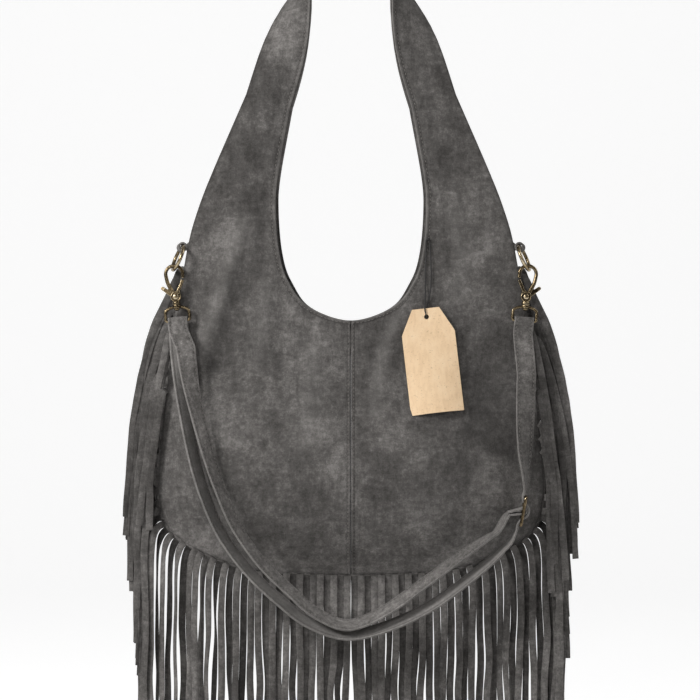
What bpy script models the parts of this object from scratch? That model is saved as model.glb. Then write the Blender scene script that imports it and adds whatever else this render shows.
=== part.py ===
"""Slouchy suede shoulder bag with a fringe, a clipped crossbody strap and a hang tag.

Metres, +Z up, front towards -Y. The origin is on the underside of the shoulder strap, at the top of its
arch, where the bag hangs.
"""
import math

import bpy
import bmesh
from mathutils import Matrix, Vector

for old in list(bpy.data.objects):
    bpy.data.objects.remove(old, do_unlink=True)

MM = 0.001
FIT = 0.3 * MM

# Suede panels
SUEDE = 1.4 * MM
BODY_HALF_WIDTH = 177.6 * MM
BODY_BOTTOM = -612.5 * MM
MOUTH_BOTTOM = -378.0 * MM
BELLY = 30.0 * MM
BELLY_RUN = 100.0 * MM
BELLY_START = -395.0 * MM
BELLY_FULL = -525.0 * MM
MOUTH_GAPE = 5.0 * MM
HORN_PUFF = 2.2 * MM
HORN_EDGE_RUN = 12.0 * MM

# Shoulder strap arch
ARCH_FLAT = 6.0 * MM
ARCH_RADIUS = 20.3 * MM
ARCH_SLOPE = 0.313
ARCH_WIDTH = 38.0 * MM
HORN_WIDTH = 42.0 * MM
TWIST_START = 45.0 * MM
TWIST_RUN = 135.0 * MM
SHOULDER_SEAM = 3.5 * MM

# Fringe
FRINGE_THICK = 1.0 * MM
FRINGE_LENGTH = 232.0 * MM
FRINGE_PITCH = 6.25 * MM
FRINGE_WIDTH = 4.6 * MM
FRINGE_TOP = -352.0 * MM
HEADER_IN = 6.0 * MM
HEADER_OUT = 2.0 * MM
FRINGE_REACH = 9.2 * MM
FRINGE_LANE_TOP = 211.0 * MM
FRINGE_TURN = 4.0 * MM
FRINGE_SPREAD = 32.0 * MM
FRINGE_LAYER = 1.35 * MM
LAYERS = 9
LAYER_STEP = 4
LAYER_RUN = 2.0 * MM
CORNER_LIFT = 2.5 * MM
CORNER_HEIGHT = -540.0 * MM
BOTTOM_HALF = 100.0 * MM

# Facing and snap
FACING = 1.0 * MM
FACING_WIDTH = 22.0 * MM
FACING_TOP = -285.0 * MM
FACING_EASE = 0.5 * MM
SNAP_RADIUS = 9.0 * MM
SNAP_DROP = 11.5 * MM
SOCKET_THICK = 2.8 * MM
PLATE_THICK = 1.5 * MM
STUD_RADIUS = 2.5 * MM

# Ring and its tab
TAB_EYE = Vector((156.4, 0.0, -309.6)) * MM
TAB_WALL = 2.0 * MM
TAB_WIDTH = 7.0 * MM
TAB_STUB = 2.2 * MM
RING_RADIUS = 11.7 * MM
RING_WIRE = 1.7 * MM
RING_YAW = 16.0
RING_TILT = 20.0
RING_FORWARD = 19.0

# Trigger clasp, in its own frame: u outwards, v up, w to the front, from the rivet
HOOK_WIRE = 1.65 * MM
HOOK_EYE = 7.8 * MM
HOOK_REACH = 25.5 * MM
HOOK_LEAN = 5.0
HOOK_FORWARD = 6.0
BOSS_RADIUS = 4.9 * MM
BOSS_FRONT = 2.6 * MM
RIVET_RADIUS = 1.3 * MM
RIVET_HEAD = 2.6 * MM
GATE_PLATE = 1.5 * MM
GATE_REACH = 17.0 * MM
GATE_ANGLE = 26.6
LEVER_ANGLE = 38.0
LEVER_REACH = 16.5 * MM
COLLAR_RADIUS = 3.8 * MM
COLLAR_TOP = -4.0 * MM
COLLAR_HEIGHT = 3.4 * MM
POST_RADIUS = 1.6 * MM
POST_HEAD = 2.7 * MM

# D-loop
LOOP_WIRE = 1.4 * MM
LOOP_HEIGHT = 13.0 * MM
EYELET_HEIGHT = 3.2 * MM

# Crossbody strap and slider
STRAP_WIDTH = 18.0 * MM
STRAP_THICK = 2.0 * MM
STRAP_LOWEST = -664.0 * MM
SLIDER_BAR = 1.5 * MM
SLIDER_PITCH = 13.0 * MM
SLIDER_TURN = 87.0
SLIDER_CENTRE = Vector((157.3, -31.0, -552.0)) * MM

# Hang tag
TAG_WIDTH = 48.9 * MM
TAG_LENGTH = 97.0 * MM
TAG_THICK = 0.6 * MM
TAG_HOLE = 2.2 * MM
TAG_SHOULDER = 23.0 * MM
TAG_TOP_WIDTH = 25.0 * MM
TAG_TILT = 6.5
TAG_HOLE_AT = Vector((69.5, 0.0, -374.6)) * MM
STRING_RADIUS = 0.6 * MM
TAG_CLEAR = 3.7 * MM

# What follows from the sizes above
HEADER_GAP = FRINGE_THICK / 2 + FIT
CLOSED_GAP = FIT / 2
STRAP_HALF_DEPTH = CLOSED_GAP + SUEDE + HORN_PUFF
ARCH_CENTRE = Vector((ARCH_FLAT, 0.0, STRAP_HALF_DEPTH - ARCH_RADIUS))
ARCH_SWEEP = math.atan2(1.0, ARCH_SLOPE)
SNAP_SPACE = SOCKET_THICK + PLATE_THICK + 3 * FIT
SNAP_DEPTH = SNAP_SPACE / 2 + FACING + FACING_EASE - HEADER_GAP
LOOP_BAR_V = COLLAR_TOP - COLLAR_HEIGHT - FIT - EYELET_HEIGHT / 2 - LOOP_HEIGHT
LOOP_HALF_WIDTH = STRAP_WIDTH / 2 + 2 * FIT + LOOP_WIRE
PLY_AT_BAR = LOOP_WIRE + FIT + STRAP_THICK / 2


def ease(value, low=0.0, high=1.0):
    """Smooth ramp from 0 at low to 1 at high."""
    t = min(max((value - low) / (high - low), 0.0), 1.0)
    return t * t * (3.0 - 2.0 * t)


def mix(a, b, t):
    return a * (1.0 - t) + b * t


def smooth_path(points, steps):
    """Catmull-Rom curve through the points, with steps stretches between each two."""
    ends = [points[0] * 2 - points[1], *points, points[-1] * 2 - points[-2]]
    found = []
    for a, b, c, d in zip(ends, ends[1:], ends[2:], ends[3:]):
        for k in range(steps):
            t = k / steps
            found.append(
                0.5 * (2 * b + (c - a) * t + (2 * a - 5 * b + 4 * c - d) * t * t
                       + (3 * b - 3 * c + d - a) * t ** 3)
            )
    return [*found, points[-1].copy()]


def material(name, colour, roughness, metallic=0.0):
    made = bpy.data.materials.new(name)
    made.use_nodes = True
    shader = made.node_tree.nodes["Principled BSDF"]
    shader.inputs["Base Color"].default_value = (*colour, 1.0)
    shader.inputs["Roughness"].default_value = roughness
    shader.inputs["Metallic"].default_value = metallic
    return made


GREY_SUEDE = (0.125, 0.115, 0.108)
DARK_SUEDE = (0.085, 0.080, 0.076)
BRASS = (0.36, 0.29, 0.17)
KRAFT = (0.76, 0.57, 0.36)
BLACK = (0.012, 0.012, 0.012)


def node(name, bm, colour, roughness=0.9, metallic=0.0, smooth_angle=35.0):
    """One finished sub-part from a bmesh, faces outwards."""
    bmesh.ops.remove_doubles(bm, verts=bm.verts, dist=1e-6)
    bmesh.ops.dissolve_degenerate(bm, edges=bm.edges, dist=1e-6)
    bmesh.ops.recalc_face_normals(bm, faces=bm.faces)
    mesh = bpy.data.meshes.new(name)
    bm.to_mesh(mesh)
    bm.free()
    mesh.shade_smooth()
    mesh.set_sharp_from_angle(angle=math.radians(smooth_angle))
    mesh.materials.append(material(name, colour, roughness, metallic))
    made = bpy.data.objects.new(name, mesh)
    bpy.context.scene.collection.objects.link(made)
    return made


def loft(sections, closed=False):
    """Skin over rings of equal point count, capped at both ends or joined end to end."""
    bm = bmesh.new()
    rings = [[bm.verts.new(p) for p in section] for section in sections]
    pairs = list(zip(rings, rings[1:]))
    if closed:
        pairs.append((rings[-1], rings[0]))
    for a, b in pairs:
        for k in range(len(a)):
            j = (k + 1) % len(a)
            bm.faces.new((a[k], a[j], b[j], b[k]))
    if not closed:
        bm.faces.new(rings[0])
        bm.faces.new(rings[-1])
    return bm


def flat_skin(bm, a, b):
    """Join two four-corner sections of a flat band, splitting its two wide faces along the same diagonal."""
    for k in range(4):
        j = (k + 1) % 4
        if k < 2:
            bm.faces.new((a[k], a[j], b[j]))
            bm.faces.new((a[k], b[j], b[k]))
        else:
            bm.faces.new((a[k], a[j], b[k]))
            bm.faces.new((a[j], b[j], b[k]))


def wire(path, radius, sides=8, closed=False, up=Vector((0.0, 1.0, 0.0))):
    """Round wire along a path whose plane is roughly square to up."""
    sections = []
    for k, point in enumerate(path):
        before = path[k - 1] if k or closed else point
        after = path[(k + 1) % len(path)] if k < len(path) - 1 or closed else point
        along = (after - before).normalized()
        side = along.cross(up).normalized()
        rise = side.cross(along)
        ring = [2 * math.pi * n / sides for n in range(sides)]
        sections.append([point + side * radius * math.cos(a) + rise * radius * math.sin(a) for a in ring])
    return loft(sections, closed)


def turned(profile, sides=16):
    """Solid turned about the v axis from (radius, v) points, first and last closed by flat caps."""
    ring = [2 * math.pi * n / sides for n in range(sides)]
    return loft([[Vector((r * math.cos(a), v, r * math.sin(a))) for a in ring] for r, v in profile])


def prism(outline, back, front):
    """Flat outline in u and v, thick from back to front along w."""
    return loft([[Vector((u, v, w)) for u, v in outline] for w in (back, front)])


def circle(radius, count=16, centre=(0.0, 0.0)):
    angles = [2 * math.pi * (n + 0.5) / count for n in range(count)]
    return [(centre[0] + radius * math.cos(a), centre[1] + radius * math.sin(a)) for a in angles]


def combine(base, others, operation):
    """Boolean of bmeshes, worked out once and returned as a bmesh."""
    made = []
    for bm in (base, *others):
        bmesh.ops.recalc_face_normals(bm, faces=bm.faces)
        mesh = bpy.data.meshes.new("tool")
        bm.to_mesh(mesh)
        bm.free()
        tool = bpy.data.objects.new("tool", mesh)
        bpy.context.scene.collection.objects.link(tool)
        made.append(tool)
    for tool in made[1:]:
        cut = made[0].modifiers.new("cut", "BOOLEAN")
        cut.operation = operation
        cut.solver = "EXACT"
        cut.object = tool
    depsgraph = bpy.context.evaluated_depsgraph_get()
    result = bmesh.new()
    result.from_mesh(made[0].evaluated_get(depsgraph).to_mesh())
    for tool in made:
        bpy.data.objects.remove(tool, do_unlink=True)
    bmesh.ops.triangulate(result, faces=result.faces)
    return result


# Outline of half the bag, as pairs of points on its inner edge (horn, then mouth) and its outer seam
def flat(x, z):
    return Vector((x * MM, 0.0, z * MM))


def arch_point(run):
    """Centre line of the shoulder strap, run metres from the apex: point and outward normal."""
    if run <= ARCH_FLAT:
        return Vector((run, 0.0, STRAP_HALF_DEPTH)), Vector((0.0, 0.0, 1.0))
    angle = min((run - ARCH_FLAT) / ARCH_RADIUS, ARCH_SWEEP)
    normal = Vector((math.sin(angle), 0.0, math.cos(angle)))
    past = run - ARCH_FLAT - angle * ARCH_RADIUS
    along = Vector((normal.z, 0.0, -normal.x))
    return ARCH_CENTRE + normal * ARCH_RADIUS + along * past, normal


ARC_END = ARCH_FLAT + ARCH_RADIUS * ARCH_SWEEP
HORN_END = ARC_END + 172.0 * MM
ARCH_RUNS = [ARCH_FLAT, *[ARCH_FLAT + ARCH_RADIUS * ARCH_SWEEP * k / 3 for k in (1, 2, 3)]]
ARCH_RUNS += [mix(ARC_END, HORN_END, k / 5) for k in range(1, 6)]


def arch_row(run, side=1):
    """Inner and outer end of one strap row, and the direction its front layer faces."""
    centre, outward = arch_point(run)
    turn = math.radians(90.0) * (1.0 - ease(run - ARCH_FLAT, TWIST_START, TWIST_START + TWIST_RUN))
    front = Vector((0.0, -1.0, 0.0))
    across = outward * math.cos(turn) - front * math.sin(turn)
    faces = outward * math.sin(turn) + front * math.cos(turn)
    half = mix(ARCH_WIDTH, HORN_WIDTH, ease(run, 0.0, HORN_END)) / 2
    row = [centre - across * half, centre + across * half, faces]
    return [Vector((side * v.x, v.y, v.z)) for v in row]


HORN_IN, HORN_OUT, _ = arch_row(HORN_END)
INNER_EDGE = [HORN_IN, flat(68.0, -243.8), flat(70.0, -275.0), flat(67.0, -312.8), flat(58.9, -340.4),
              flat(39.6, -364.8), Vector((0.0, 0.0, MOUTH_BOTTOM))]
CENTRE_DROP = [0.0, 0.26, 0.56, 0.80, 0.95, 1.0]
OUTER_SEAM = [HORN_OUT, flat(127.0, -238.0), flat(141.0, -274.0), flat(150.5, -308.0), flat(160.0, -365.0),
              flat(168.5, -425.0), flat(174.6, -485.0), Vector((BODY_HALF_WIDTH, 0.0, -540.0 * MM)),
              flat(163.0, -576.0), flat(105.0, -604.5), flat(45.0, -611.0),
              Vector((0.0, 0.0, BODY_BOTTOM))]
SEAM_STEPS = 2
seam_line = smooth_path(OUTER_SEAM, SEAM_STEPS)
mouth_line = smooth_path(INNER_EDGE, SEAM_STEPS)
centre_line = [Vector((0.0, 0.0, mix(MOUTH_BOTTOM, BODY_BOTTOM, t))) for t in CENTRE_DROP]
centre_line = smooth_path(centre_line, SEAM_STEPS)
FINE_STEPS = 12
seam_fine = smooth_path(OUTER_SEAM, FINE_STEPS)
mouth_fine = smooth_path(INNER_EDGE, FINE_STEPS)


def distance(point, line):
    """Shortest way from a point to a polyline."""
    best = 1.0
    for a, b in zip(line, line[1:]):
        span = b - a
        t = min(max((point - a).dot(span) / span.length_squared, 0.0), 1.0)
        best = min(best, (point - a - span * t).length)
    return best


def open_depth(x, z):
    """How far a layer bellies out from the seam plane at this place, off the strap."""
    here = Vector((abs(x), 0.0, z))
    to_seam = distance(here, seam_fine)
    fall = 1.0 - (1.0 - min(to_seam / BELLY_RUN, 1.0)) ** 2.2
    mouth = SNAP_DEPTH + MOUTH_GAPE * ease(abs(x), SNAP_RADIUS, 60.0 * MM)
    depth = mix(mouth, BELLY, ease(-z, -BELLY_START, -BELLY_FULL)) * fall
    sewn = HORN_PUFF * ease(min(to_seam, distance(here, mouth_fine)), 0.0, HORN_EDGE_RUN)
    return mix(sewn, depth, ease(-z, 0.235, 0.31))


def seam_gap(z):
    """Half the space between the layers at their edges: wider where the fringe header is sewn in."""
    return mix(CLOSED_GAP, HEADER_GAP, ease(-z, 0.235, 0.30))


COLUMNS = 6


def panel_rows(side, seam_x):
    """Rows of (point on the seam plane, layer direction, depth) for one half, from the shoulder seam."""
    rows = []
    starts = [seam_x] if seam_x > 0 else [seam_x, SHOULDER_SEAM]
    for run in starts:
        inner, outer, faces = arch_row(abs(run))
        inner.x = outer.x = run
        rows.append((inner, outer, faces))
    rows += [arch_row(run) for run in ARCH_RUNS]
    front = Vector((0.0, -1.0, 0.0))
    body_in = mouth_line[1:] + centre_line[1:]
    rows += [(a, b, front) for a, b in zip(body_in, seam_line[1:])]
    made = []
    strap_rows = len(starts) + len(ARCH_RUNS)
    for k, (inner, outer, faces) in enumerate(rows):
        width = (outer - inner).length
        line = []
        for c in range(COLUMNS + 1):
            u = c / COLUMNS
            point = mix(inner, outer, u)
            if k < strap_rows:
                depth = HORN_PUFF * ease(min(u, 1.0 - u) * width, 0.0, HORN_EDGE_RUN)
                gap = CLOSED_GAP
            else:
                depth = open_depth(point.x, point.z)
                gap = seam_gap(point.z)
                point.x = max(point.x, FIT / 2)
            way = Vector((side * faces.x, faces.y, faces.z))
            line.append((Vector((side * point.x, point.y, point.z)), way, gap + depth))
        made.append(line)
    return made


def panel(name, side, layer, seam_x, colour):
    """One half of the front (layer 1) or back (layer -1): a suede shell from strap to bottom seam."""
    rows = panel_rows(side, seam_x)
    bm = bmesh.new()
    skins = []
    for depth in (0.0, SUEDE):
        skins.append([[bm.verts.new(p + way * layer * (d + depth)) for p, way, d in line] for line in rows])
    for skin in skins:
        for a, b in zip(skin, skin[1:]):
            for k in range(COLUMNS):
                bm.faces.new((a[k], a[k + 1], b[k + 1], b[k]))
    edges = [[skin[r][c] for skin in skins] for r, c in border(len(rows), COLUMNS + 1)]
    for (a, b), (c, d) in zip(edges, edges[1:] + edges[:1]):
        bm.faces.new((a, b, d, c))
    return node(name, bm, colour)


def border(rows, columns):
    """Grid places round the edge of a grid, in order."""
    places = [(0, c) for c in range(columns)] + [(r, columns - 1) for r in range(1, rows)]
    places += [(rows - 1, c) for c in range(columns - 2, -1, -1)]
    return places + [(r, 0) for r in range(rows - 2, 0, -1)]


# Panels: the front layer's shoulder seam is left of the apex, the back layer's right of it
panel("front_left_panel", -1, 1, SHOULDER_SEAM + FIT, GREY_SUEDE)
panel("front_right_panel", 1, 1, -SHOULDER_SEAM, GREY_SUEDE)
panel("back_left_panel", -1, -1, -SHOULDER_SEAM, GREY_SUEDE)
panel("back_right_panel", 1, -1, SHOULDER_SEAM + FIT, GREY_SUEDE)


def facing(name, layer):
    """Suede strip just inside the mouth edge, from one side of the mouth to the other."""
    half = [p for p in smooth_path(INNER_EDGE, 2) if p.z < FACING_TOP]
    line = half + [Vector((-p.x, 0.0, p.z)) for p in reversed(half[:-1])]
    columns = 2
    rows = []
    for k, point in enumerate(line):
        along = (line[min(k + 1, len(line) - 1)] - line[max(k - 1, 0)]).normalized()
        inwards = Vector((-along.z, 0.0, along.x))
        row = []
        for c in range(columns + 1):
            p = point + inwards * FACING_WIDTH * c / columns
            row.append((p, seam_gap(p.z) + open_depth(p.x, p.z) - FACING_EASE))
        rows.append(row)
    bm = bmesh.new()
    skins = []
    for inset in (FACING, 0.0):
        skins.append([[bm.verts.new((p.x, -layer * (d - inset), p.z)) for p, d in row] for row in rows])
    for skin in skins:
        for a, b in zip(skin, skin[1:]):
            for k in range(columns):
                bm.faces.new((a[k], a[k + 1], b[k + 1], b[k]))
    edges = [[skin[r][c] for skin in skins] for r, c in border(len(rows), columns + 1)]
    for (a, b), (c, d) in zip(edges, edges[1:] + edges[:1]):
        bm.faces.new((a, b, d, c))
    return node(name, bm, DARK_SUEDE)


facing("front_facing", 1)
facing("back_facing", -1)


def move(bm, matrix):
    bmesh.ops.transform(bm, matrix=matrix, verts=bm.verts)
    return bm


# Magnetic snap: the socket on the back facing, the plate and stud on the front one
snap_z = MOUTH_BOTTOM - SNAP_DROP
back_facing_y = SNAP_SPACE / 2
socket_hole = STUD_RADIUS + FIT
socket_back = back_facing_y - FIT
socket = turned([(SNAP_RADIUS - 0.4 * MM, socket_back - SOCKET_THICK), (SNAP_RADIUS, socket_back - 0.5 * MM),
                 (SNAP_RADIUS, socket_back)], 16)
hole = turned([(socket_hole, socket_back - SOCKET_THICK - FIT), (socket_hole, back_facing_y - 1.2 * MM)], 12)
node("snap_socket", move(combine(socket, [hole], "DIFFERENCE"), Matrix.Translation((0, 0, snap_z))),
     BRASS, 0.35, 1.0)
plate_back = -back_facing_y + FIT
stud_end = plate_back + PLATE_THICK + FIT + SOCKET_THICK - 1.2 * MM
plate = turned([(SNAP_RADIUS, plate_back), (SNAP_RADIUS, plate_back + PLATE_THICK - 0.3 * MM),
                (SNAP_RADIUS - 0.4 * MM, plate_back + PLATE_THICK), (STUD_RADIUS, plate_back + PLATE_THICK),
                (STUD_RADIUS, stud_end - 0.3 * MM), (STUD_RADIUS - 0.3 * MM, stud_end)], 12)
node("snap_stud", move(plate, Matrix.Translation((0, 0, snap_z))), BRASS, 0.35, 1.0)


# Fringe: one comb of strips for each stretch of the outer seam, its header between the two layers
def whole_seam():
    """The sewn seam from the right side's top, round the bottom, to the left side's top."""
    right = [p for p in seam_fine if p.z < FRINGE_TOP]
    return right + [Vector((-p.x, 0.0, p.z)) for p in reversed(right[:-1])]


seam = whole_seam()
seam_runs = [0.0]
for a, b in zip(seam, seam[1:]):
    seam_runs.append(seam_runs[-1] + (b - a).length)
STRIPS = round(seam_runs[-1] / FRINGE_PITCH)
side_run = max(run for run, p in zip(seam_runs, seam) if p.x > 0 and p.z > CORNER_HEIGHT)


def seam_at(run):
    """Point on the seam and its outward direction, run metres along it."""
    k = max(n for n in range(len(seam) - 1) if seam_runs[n] <= max(run, 0.0) + 1e-9)
    t = (run - seam_runs[k]) / (seam_runs[k + 1] - seam_runs[k])
    low = max(k - 3, 0)
    high = min(k + 4, len(seam) - 1)
    along = (seam[high] - seam[low]).normalized()
    return mix(seam[k], seam[k + 1], t), Vector((-along.z, 0.0, along.x))


def strip_path(index, root, outward, run):
    """Centre of a hanging strip, run metres down it, and the way it heads there in the seam plane."""
    side = abs(outward.x)
    place = min(index + 0.5, STRIPS - index - 0.5) * seam_runs[-1] / STRIPS
    lane = mix(FRINGE_LANE_TOP, BODY_HALF_WIDTH + FRINGE_REACH, place / side_run)
    splay = lane - FRINGE_REACH * side - abs(root.x)
    if place > side_run:
        splay = max(min(splay, 0.0), -CORNER_LIFT)
    sign = 1.0 if outward.x > 0 else -1.0
    turn = math.exp(-run / FRINGE_TURN)
    spread = math.exp(-run / FRINGE_SPREAD)
    reach = side * FRINGE_REACH * (1.0 - turn) + splay * (1.0 - spread)
    drop = run - FRINGE_TURN * side * (1.0 - turn)
    layer = (index * LAYER_STEP) % LAYERS - LAYERS // 2
    spacing = FRINGE_LAYER * mix(0.45, 1.0, ease(side, 0.0, 0.35))
    out = layer * spacing * ease(run, 0.0, LAYER_RUN)
    heading = Vector((
        sign * (side * FRINGE_REACH / FRINGE_TURN * turn + splay / FRINGE_SPREAD * spread),
        0.0, -1.0 + side * turn))
    return root + Vector((sign * reach, out, -drop)), heading.normalized()


def strip_sections(index, root, outward):
    """Cross sections of one strip after its root, cut to the fringe's length."""
    side = abs(outward.x)
    stops = [2.0, 5.0, 18.0, 58.0] if side > 0.97 else [4.0, 15.0] if side > 0.2 else [5.0]
    end = FRINGE_LENGTH
    for _ in range(3):
        reached = strip_path(index, root, outward, end)[0] - root
        end -= math.hypot(reached.x, reached.z) - FRINGE_LENGTH
    sections = []
    for run in [stop * MM for stop in stops] + [end]:
        centre, heading = strip_path(index, root, outward, run)
        across = Vector((-heading.z, 0.0, heading.x)) * FRINGE_WIDTH / 2
        thick = Vector((0.0, FRINGE_THICK / 2, 0.0))
        sections.append([centre - across - thick, centre - across + thick,
                         centre + across + thick, centre + across - thick])
    return sections


def fringe(name, first, last):
    """Header strip with a hanging strip from each stretch of its outer edge."""
    bm = bmesh.new()
    pitch = seam_runs[-1] / STRIPS
    thick = Vector((0.0, FRINGE_THICK / 2, 0.0))
    stations = []
    for k in range(first, last + 1):
        trim = FIT / 2 * ((k == first) - (k == last))
        point, outward = seam_at(k * pitch + trim)
        inner = point - outward * HEADER_IN
        outer = point + outward * HEADER_OUT
        corners = (inner - thick, inner + thick, outer + thick, outer - thick)
        stations.append([bm.verts.new(p) for p in corners])
    for a, b in zip(stations, stations[1:]):
        for k in range(4):
            if k != 2:
                j = (k + 1) % 4
                bm.faces.new((a[k], a[j], b[j], b[k]))
    bm.faces.new(stations[0])
    bm.faces.new(stations[-1])
    for k, (a, b) in enumerate(zip(stations, stations[1:])):
        index = first + k
        point, outward = seam_at((index + 0.5) * pitch)
        ring = [a[3], a[2], b[2], b[3]]
        heading = strip_path(index, point, outward, 0.0)[1]
        if (b[3].co - a[3].co).dot(Vector((-heading.z, 0.0, heading.x))) < 0:
            ring = [b[3], b[2], a[2], a[3]]
        for section in strip_sections(index, point + outward * HEADER_OUT, outward):
            after = [bm.verts.new(p) for p in section]
            flat_skin(bm, ring, after)
            ring = after
        bm.faces.new(ring)
    return node(name, bm, GREY_SUEDE)


strip_roots = [seam_at(k * seam_runs[-1] / STRIPS)[0] for k in range(STRIPS)]
side_end = sum(1 for p in strip_roots if p.x > 0 and p.z > CORNER_HEIGHT)
corner_end = sum(1 for p in strip_roots if p.x > BOTTOM_HALF)
cuts = [0, side_end, corner_end]
cuts += [STRIPS - n for n in reversed(cuts)]
FRINGE_NAMES = ["fringe_right_side", "fringe_right_corner", "fringe_bottom", "fringe_left_corner",
                "fringe_left_side"]
for fringe_name, first, last in zip(FRINGE_NAMES, cuts, cuts[1:]):
    fringe(fringe_name, first, last)


# Ring, tab and clasp frames, worked out on the right and mirrored for the left
def ring_axes():
    """The ring's wire direction at its top, and the way from its centre up to the tab."""
    yaw = math.radians(RING_YAW)
    tilt = math.sin(math.radians(RING_TILT))
    forward = math.sin(math.radians(RING_FORWARD))
    lean = Vector((-tilt, forward, 1.0)).normalized()
    along = Vector((math.sin(yaw), math.cos(yaw), 0.0))
    return (along - lean * along.dot(lean)).normalized(), lean


ring_along, ring_up = ring_axes()
ring_centre = TAB_EYE - ring_up * RING_RADIUS
ring_low = ring_centre - ring_up * RING_RADIUS
hook_lean = math.sin(math.radians(HOOK_LEAN))
hook_forward = math.sin(math.radians(HOOK_FORWARD))
clasp_up = Vector((hook_lean, hook_forward, 1.0)).normalized()
clasp_out = Vector((1.0, 0.0, -clasp_up.x / clasp_up.z)).normalized()
clasp_front = clasp_out.cross(clasp_up).normalized()
if clasp_front.y > 0:
    clasp_front = -clasp_front
rivet_at = ring_low - clasp_up * HOOK_REACH
CLASP = Matrix.Translation(rivet_at) @ Matrix((clasp_out, clasp_up, clasp_front)).transposed().to_4x4()
MIRROR = Matrix.Scale(-1.0, 4, Vector((1.0, 0.0, 0.0)))


def placed(bm, side, matrix=CLASP):
    """A clasp piece in its place on the right, or mirrored to the left."""
    move(bm, matrix)
    return move(bm, MIRROR) if side < 0 else bm


def ring_tab(side):
    """Rolled loop of suede round the ring, with a round neck into the side seam."""
    hole_radius = RING_WIRE + 0.8 * MM
    outer_radius = hole_radius + TAB_WALL
    eye = TAB_EYE - ring_up * 0.3 * MM
    frame = Matrix((ring_along.cross(ring_up), ring_along, ring_up)).transposed().to_4x4()
    half = TAB_WIDTH / 2
    loop = turned([(outer_radius - 0.6 * MM, -half), (outer_radius, -half + 0.6 * MM),
                   (outer_radius, half - 0.6 * MM), (outer_radius - 0.6 * MM, half)], 16)
    loop = move(loop, Matrix.Translation(eye) @ frame)
    seam_x = max(p.x for p in seam_fine if p.z > TAB_EYE.z - TAB_STUB - 1.0 * MM)
    neck_end = eye.x - hole_radius - 0.5 * MM
    turn = Matrix.Translation((0.0, 0.0, TAB_EYE.z)) @ Matrix.Rotation(math.radians(-90), 4, "Z")
    neck = move(turned([(TAB_STUB, seam_x + FIT), (TAB_STUB, neck_end)], 12), turn)
    bore = turned([(hole_radius, -TAB_WIDTH), (hole_radius, TAB_WIDTH)], 16)
    bore = move(bore, Matrix.Translation(eye) @ frame)
    body = combine(combine(loop, [neck], "UNION"), [bore], "DIFFERENCE")
    return body if side > 0 else move(body, MIRROR)


def ring_path(side):
    turns = [2 * math.pi * k / 20 for k in range(20)]
    points = [ring_centre + (ring_up * math.cos(a) + ring_along * math.sin(a)) * RING_RADIUS for a in turns]
    return [Vector((side * p.x, p.y, p.z)) for p in points]


def hook_body():
    """Cast hook: eye, rivet boss, collar and swivel post with its peened head."""
    top = HOOK_REACH + RING_WIRE + HOOK_WIRE + FIT - HOOK_EYE
    arc = [math.radians(a) for a in range(-10, 191, 25)]
    eye = [Vector((HOOK_EYE * math.cos(a), top + HOOK_EYE * math.sin(a), 0.0)) for a in arc]
    shank = [Vector((1.6, 2.5, 0.0)) * MM, Vector((4.0, 7.5, 0.0)) * MM, Vector((6.6, 13.5, 0.0)) * MM]
    tip = Vector((-HOOK_EYE * 1.01, top - 4.2 * MM, 0.0))
    rod = wire([*shank, *eye, tip], HOOK_WIRE, 6, up=Vector((0.0, 0.0, 1.0)))
    boss = prism(circle(BOSS_RADIUS, 16), -HOOK_WIRE, BOSS_FRONT)
    collar_low = COLLAR_TOP - COLLAR_HEIGHT
    head = collar_low - EYELET_HEIGHT - 2 * FIT
    post = turned([(COLLAR_RADIUS * 0.7, COLLAR_TOP), (COLLAR_RADIUS, COLLAR_TOP - 1.2 * MM),
                   (COLLAR_RADIUS, collar_low), (POST_RADIUS, collar_low), (POST_RADIUS, head),
                   (POST_HEAD, head), (POST_HEAD * 0.8, head - 1.2 * MM),
                   (POST_HEAD * 0.3, head - 1.8 * MM)], 12)
    bore = prism(circle(RIVET_RADIUS + FIT, 12), -5 * MM, 5 * MM)
    return combine(combine(rod, [boss, post], "UNION"), [bore], "DIFFERENCE")


def gate_body():
    """Sprung gate: hub plate behind the boss, arm up to the hook's tip, thumb lever outwards."""
    back = -HOOK_WIRE - FIT - GATE_PLATE
    front = -HOOK_WIRE - FIT
    angle = math.radians(GATE_ANGLE)
    arm_way = Vector((-math.sin(angle), math.cos(angle), 0.0))
    arm_side = Vector((arm_way.y, -arm_way.x, 0.0))
    foot = BOSS_RADIUS + FIT
    hub_radius = RIVET_RADIUS + FIT + 1.6 * MM
    lever = math.radians(LEVER_ANGLE)
    lever_way = Vector((math.cos(lever), math.sin(lever), 0.0))
    lever_side = Vector((-lever_way.y, lever_way.x, 0.0))
    lobe = arm_way * (foot + 3.1 * MM)
    lever_end = lever_way * LEVER_REACH
    outline = [lever_end - lever_side * 1.7 * MM, lever_end + lever_side * 1.7 * MM,
               lever_way * 6.0 * MM + lever_side * 2.2 * MM, (lever_way + arm_way).normalized() * 4.2 * MM,
               lobe + arm_side * 1.4 * MM, lobe - arm_side * 1.4 * MM]
    round_part = [lever + math.radians(130 + 190 * k / 7) for k in range(8)]
    outline += [Vector((hub_radius * math.cos(a), hub_radius * math.sin(a), 0.0)) for a in round_part]
    hub = prism([(p.x, p.y) for p in outline], back, front)

    def bar(start, end, half, low, high):
        corners = [arm_way * start - arm_side * half, arm_way * start + arm_side * half,
                   arm_way * end + arm_side * half * 0.85, arm_way * end - arm_side * half * 0.85]
        return prism([(c.x, c.y) for c in corners], low, high)

    arm = bar(foot, GATE_REACH, 1.45 * MM, -1.5 * MM, 1.4 * MM)
    link = bar(foot + 0.1 * MM, foot + 3.0 * MM, 1.3 * MM, back + 0.2 * MM, 0.5 * MM)
    bore = prism(circle(RIVET_RADIUS + FIT, 12), -6 * MM, 6 * MM)
    return combine(combine(hub, [link, arm], "UNION"), [bore], "DIFFERENCE")


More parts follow.
